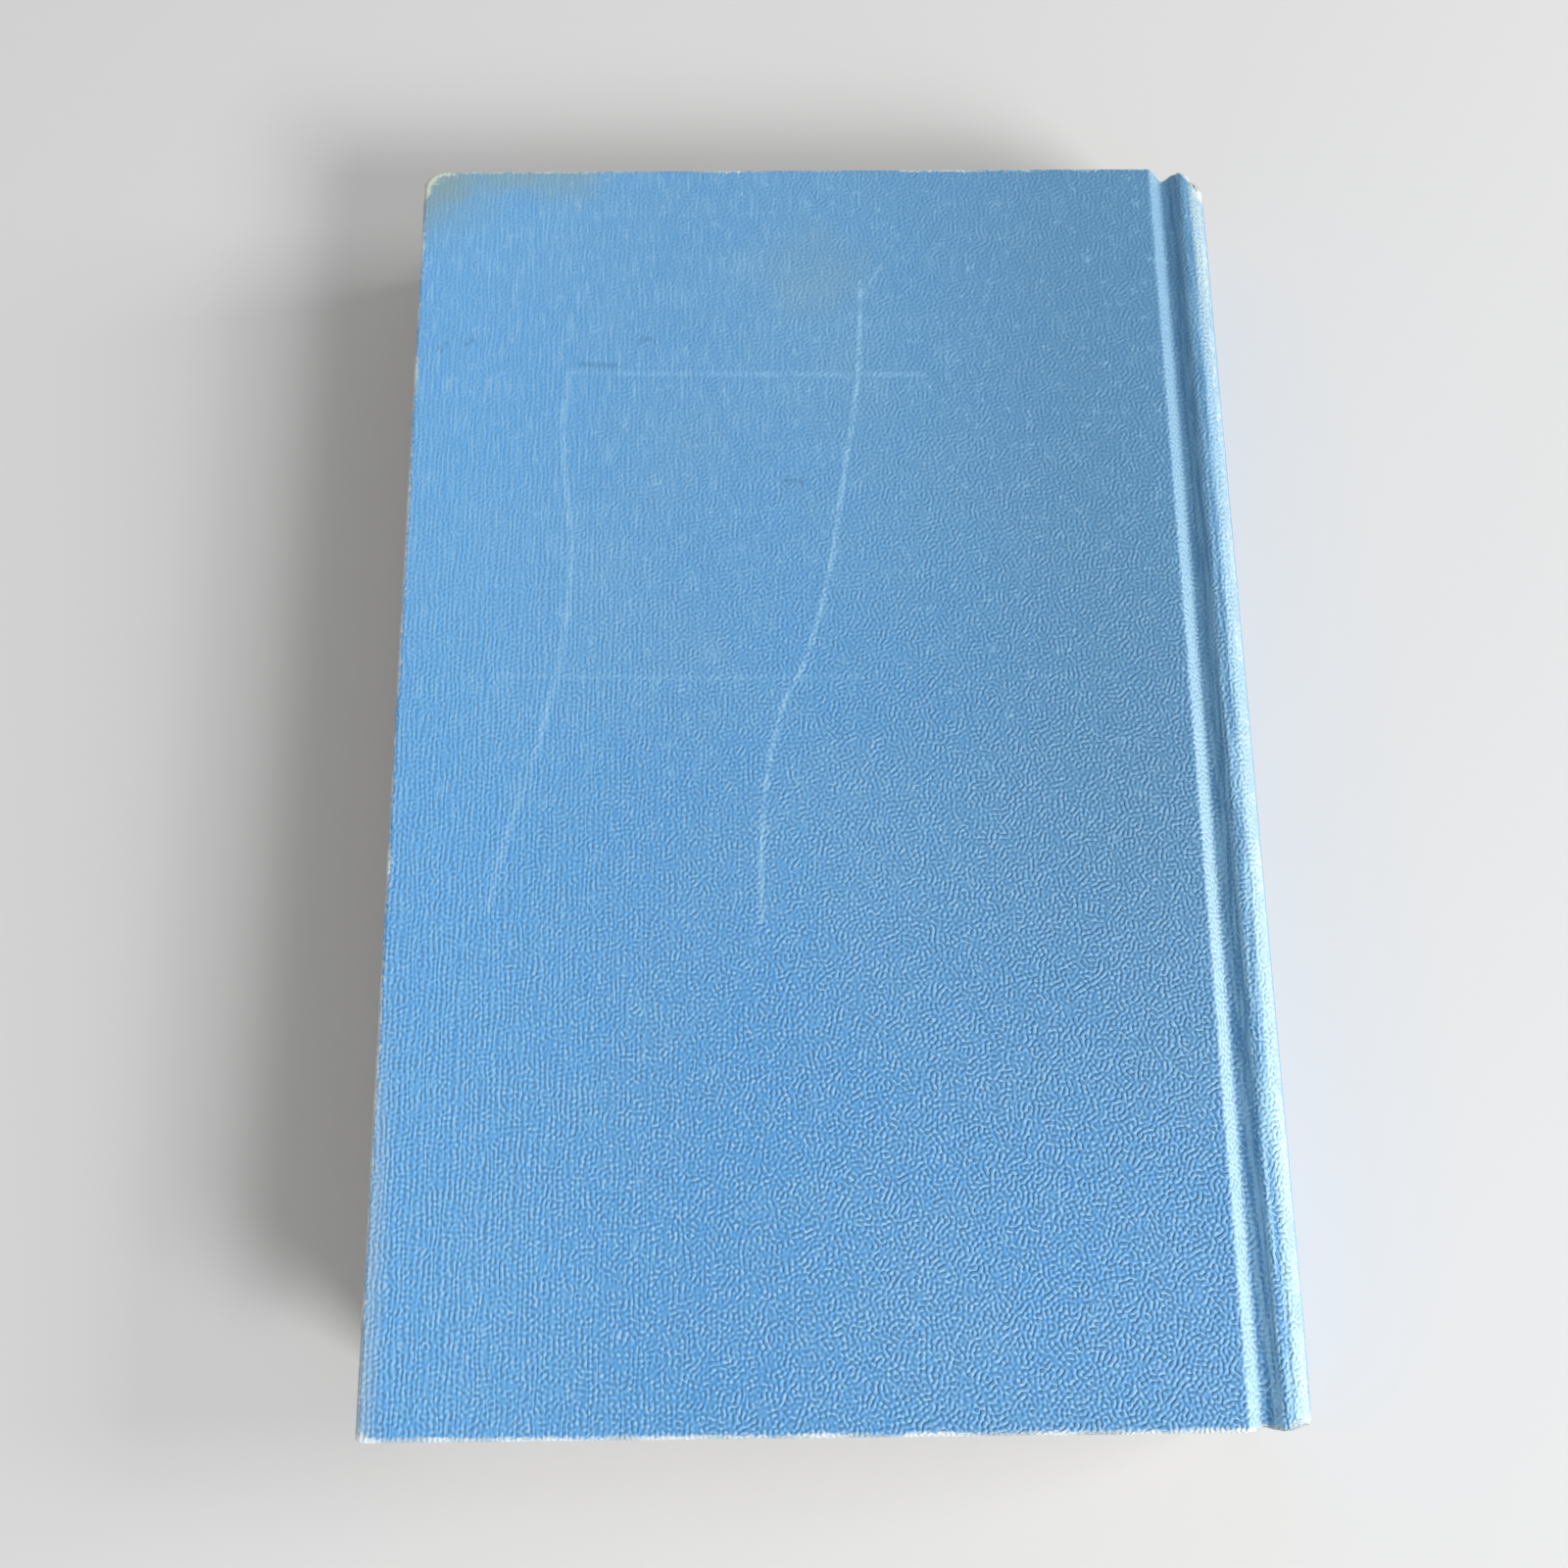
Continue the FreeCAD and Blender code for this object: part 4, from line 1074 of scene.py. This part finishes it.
def outline_y(x, end):
    """Where the back cover and its side of the spine end at head or tail."""
    section_x = x - SECTION_SHIFT
    if section_x > LIP_X:
        return end * (HALF_HEIGHT - 0.1 - cap_wear(section_x, end * HALF_HEIGHT, True))
    rounding = WORN_ROUND if end > 0 else PLAIN_ROUND
    inward = max(rounding - (section_x + COVER_REACH), 0.0)
    return end * (HALF_HEIGHT - 0.2 - rounding + math.sqrt(rounding**2 - inward**2))


def fibre_points(x, end, seed):
    """Centre line of one short loose fibre that curls over the edge."""
    def chance(channel):
        return 1.8 * noise.noise(Vector((seed, channel, 0)))

    start = Vector((x, outline_y(x, end) - end * 0.25, FIBRE_LEVEL + 0.45 * chance(4.4)))
    heading = 1.1 * chance(9.7)
    length = 0.65 + 0.3 * chance(2.9)
    points = []
    for step in range(FIBRE_STEPS + 1):
        share = step / FIBRE_STEPS
        sideways = math.sin(heading) * length * share + 0.2 * share**2 * math.sin(seed)
        onward = end * math.cos(heading) * length * share * 0.6
        points.append(start + Vector((sideways, onward, 0.3 * math.sin(2.2 * share + seed))))
    return points


def build_fray(name, first_x, last_x, end, count, thickest, material):
    vertices = []
    faces = []
    pairs = []
    for strand in range(count):
        seed = strand * 1.7 + first_x
        x = first_x + (last_x - first_x) * (strand + 0.5) / count
        first = len(vertices)
        for step, centre in enumerate(fibre_points(x, end, seed)):
            radius = thickest * (1 - 0.6 * step / FIBRE_STEPS)
            for corner in range(FIBRE_SIDES):
                angle = 2 * math.pi * corner / FIBRE_SIDES
                rim = centre + Vector((radius * math.cos(angle), 0, radius * math.sin(angle)))
                vertices.append(rim * MM)
                pairs.append((step / FIBRE_STEPS, corner / FIBRE_SIDES))
        faces += ring_faces(first, FIBRE_STEPS + 1, FIBRE_SIDES)
    return build_mesh(name, vertices, faces, material, {"plan": pairs})


# The book

SPINE_LAYERS = [
    # piece, CAD node, slot, distance outside the leaves, highest level, half height, thickness
    ("spine_gauze_sheet", "spine_mull", "gauze", 0.25, 12.2, 95.0, 0.35),
    ("spine_inlay_card", "spine_inlay", "card", 1.1, 11.2, 105.0, 0.5),
    ("spine_lining_sheet", "spine_lining_paper", "lining", 0.6, 11.8, 95.0, LEAF),
]


def add_case(materials):
    for half, side in ((1, "back"), (-1, "front")):
        cloth = build_cloth(half, materials[f"{side}_cloth"], f"{side}_case_cloth")
        bend_with(cloth)
        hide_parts(f"{side}_cover_cloth", "spine_cloth")
        paper = (half, PAGE_HALF_HEIGHT, LEAF, materials["endpaper"])
        paste = build_sheet(f"{side}_pastedown_sheet", pastedown_path(), *paper, pastedown_lift)
        bend_with(paste)
        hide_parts(f"{side}_pastedown", f"{side}_mull_flange")
        flyleaf = build_sheet(f"{side}_flyleaf_sheet", flyleaf_path(), *paper)
        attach(flyleaf, "text_block")
        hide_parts(f"{side}_flyleaf")
        dress_node(f"{side}_board", materials["board"])


def dress_node(node, material):
    """Give a CAD node that stays in the scene its material."""
    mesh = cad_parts[node].data
    mesh.materials.clear()
    mesh.materials.append(material)


def add_block(materials):
    pieces = [
        (build_page_block(materials["leaves"]), "page_block", "leaves"),
        (build_band("head_band_bead", 1, materials["band"]), "head_band", "band"),
        (build_band("tail_band_bead", -1, materials["band"]), "tail_band", "band"),
        (build_sewing(materials["thread"]), "sewing_thread", "thread"),
    ]
    for name, node, slot_name, out, top_level, half_height, thickness in SPINE_LAYERS:
        path = spine_path(out, top_level)
        sheet = build_sheet(name, path, 1, half_height, thickness, materials[slot_name])
        pieces.append((sheet, node, slot_name))
    for piece, node, slot_name in pieces:
        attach(piece, "text_block")
        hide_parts(node)


def add_frays(material):
    for number, (first_x, last_x, end, count, thickest, body) in enumerate(FRAYS):
        fray = build_fray(f"frayed_threads_{number}", first_x, last_x, end, count, thickest, material)
        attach(fray, body)


def make_materials():
    cream = rgba(0.80, 0.74, 0.60)
    pasteboard = make_board()
    return {
        "back_cloth": make_cloth("worn cloth", marked=True),
        "front_cloth": make_cloth("plain cloth", marked=False),
        "leaves": make_page_edges(),
        "endpaper": make_paper("endpaper", cream, rgba(0.70, 0.62, 0.46)),
        "lining": make_paper("lining paper", rgba(0.42, 0.30, 0.17), rgba(0.33, 0.23, 0.13)),
        "board": pasteboard,
        "card": pasteboard,
        "gauze": make_gauze(),
        "thread": make_thread("sewing thread", rgba(0.72, 0.68, 0.58), rgba(0.62, 0.57, 0.47), 0.5),
        "band": make_thread("headband", rgba(0.70, 0.70, 0.64), rgba(0.16, 0.30, 0.50), RIB_PITCH),
        "fray": make_thread("frayed threads", rgba(0.84, 0.87, 0.82), rgba(0.62, 0.72, 0.74), 0.8),
    }


# Stage, light and camera

CAMERA_PLACE = Vector((-0.01065, -0.07569, 0.28323))
# in degrees, one after the other, from a camera that looks straight down
CAMERA_TURNS = (("Z", -2.044), ("X", 14.827), ("Z", 1.515))
LAMP_AIM = Vector((0, 0, 0.02))
FLOOR_HALF = 8.0
# point of the floor under the lamps, and how far from it the floor starts and ends to be lifted
LAMPS_FOOT = (1.2, -0.5, 0.0)
GLOW_FAR = (1.45, 3.2)


def make_floor_material():
    """Pale floor; far off, where the lamps don't reach, the camera sees it as pale as the backdrop."""
    nodes = material_nodes("pale floor")
    place = nodes.add("ShaderNodeTexCoord").outputs["Object"]
    cloud = nodes.noise(place, 2.0, detail=1.0)
    colour = nodes.mix(cloud, rgba(0.70, 0.70, 0.70), rgba(0.74, 0.74, 0.74))
    seen = nodes.add("ShaderNodeLightPath").outputs["Is Camera Ray"]
    glow = nodes.times(nodes.step(nodes.distance(place, LAMPS_FOOT), *GLOW_FAR, 0.0, 0.46), seen)
    normal = nodes.bump(cloud, 0.01 * MM, 0.1)
    return nodes.surface(colour, 0.9, normal, Emission_Color=rgba(1, 1, 1), Emission_Strength=glow)


def add_stage():
    corners = [(x * FLOOR_HALF, y * FLOOR_HALF, 0) for x, y in ((-1, -1), (1, -1), (1, 1), (-1, 1))]
    floor = build_mesh("floor", corners, [(0, 1, 2, 3)], make_floor_material())


def add_area_light(name, place, size, power):
    light = bpy.data.lights.new(name, "AREA")
    light.shape = "SQUARE"
    light.size = size
    light.energy = power
    lamp = bpy.data.objects.new(name, light)
    lamp.location = place
    lamp.rotation_euler = (LAMP_AIM - Vector(place)).to_track_quat("-Z", "Y").to_euler()
    bpy.context.scene.collection.objects.link(lamp)


def add_world(light_strength, seen_strength):
    """Even light all round; the camera sees a paler backdrop than the one that lights the book."""
    nodes = Nodes(bpy.data.worlds.new("studio"), "ShaderNodeOutputWorld")
    rays = nodes.add("ShaderNodeLightPath").outputs
    seen = nodes.maths("MAXIMUM", rays["Is Camera Ray"], rays["Is Glossy Ray"])
    seen = nodes.maths("MAXIMUM", seen, rays["Is Transmission Ray"])
    blend = nodes.add("ShaderNodeMixShader", {0: seen})
    for socket, strength in ((1, light_strength), (2, seen_strength)):
        background = nodes.add("ShaderNodeBackground", {"Color": rgba(1, 1, 1), "Strength": strength})
        nodes.feed(blend.inputs[socket], background.outputs[0])
    nodes.feed(nodes.output.inputs["Surface"], blend.outputs[0])
    bpy.context.scene.world = nodes.owner


def add_camera():
    lens = bpy.data.cameras.new("camera")
    lens.lens = 36
    lens.sensor_width = 36
    lens.clip_start = 0.01
    camera = bpy.data.objects.new("camera", lens)
    place = Matrix.Translation(CAMERA_PLACE)
    for axis, degrees in CAMERA_TURNS:
        place = place @ Matrix.Rotation(math.radians(degrees), 4, axis)
    camera.matrix_world = place
    bpy.context.scene.collection.objects.link(camera)
    bpy.context.scene.camera = camera


materials = make_materials()
add_case(materials)
add_block(materials)
add_frays(materials["fray"])
add_stage()
add_area_light("key", (1.10, -1.00, 1.00), size=0.60, power=24.0)
add_area_light("side", (1.80, 0.20, 0.84), size=0.70, power=19.0)
add_world(light_strength=0.42, seen_strength=0.8)
add_camera()
bpy.context.scene.view_settings.view_transform = "Standard"
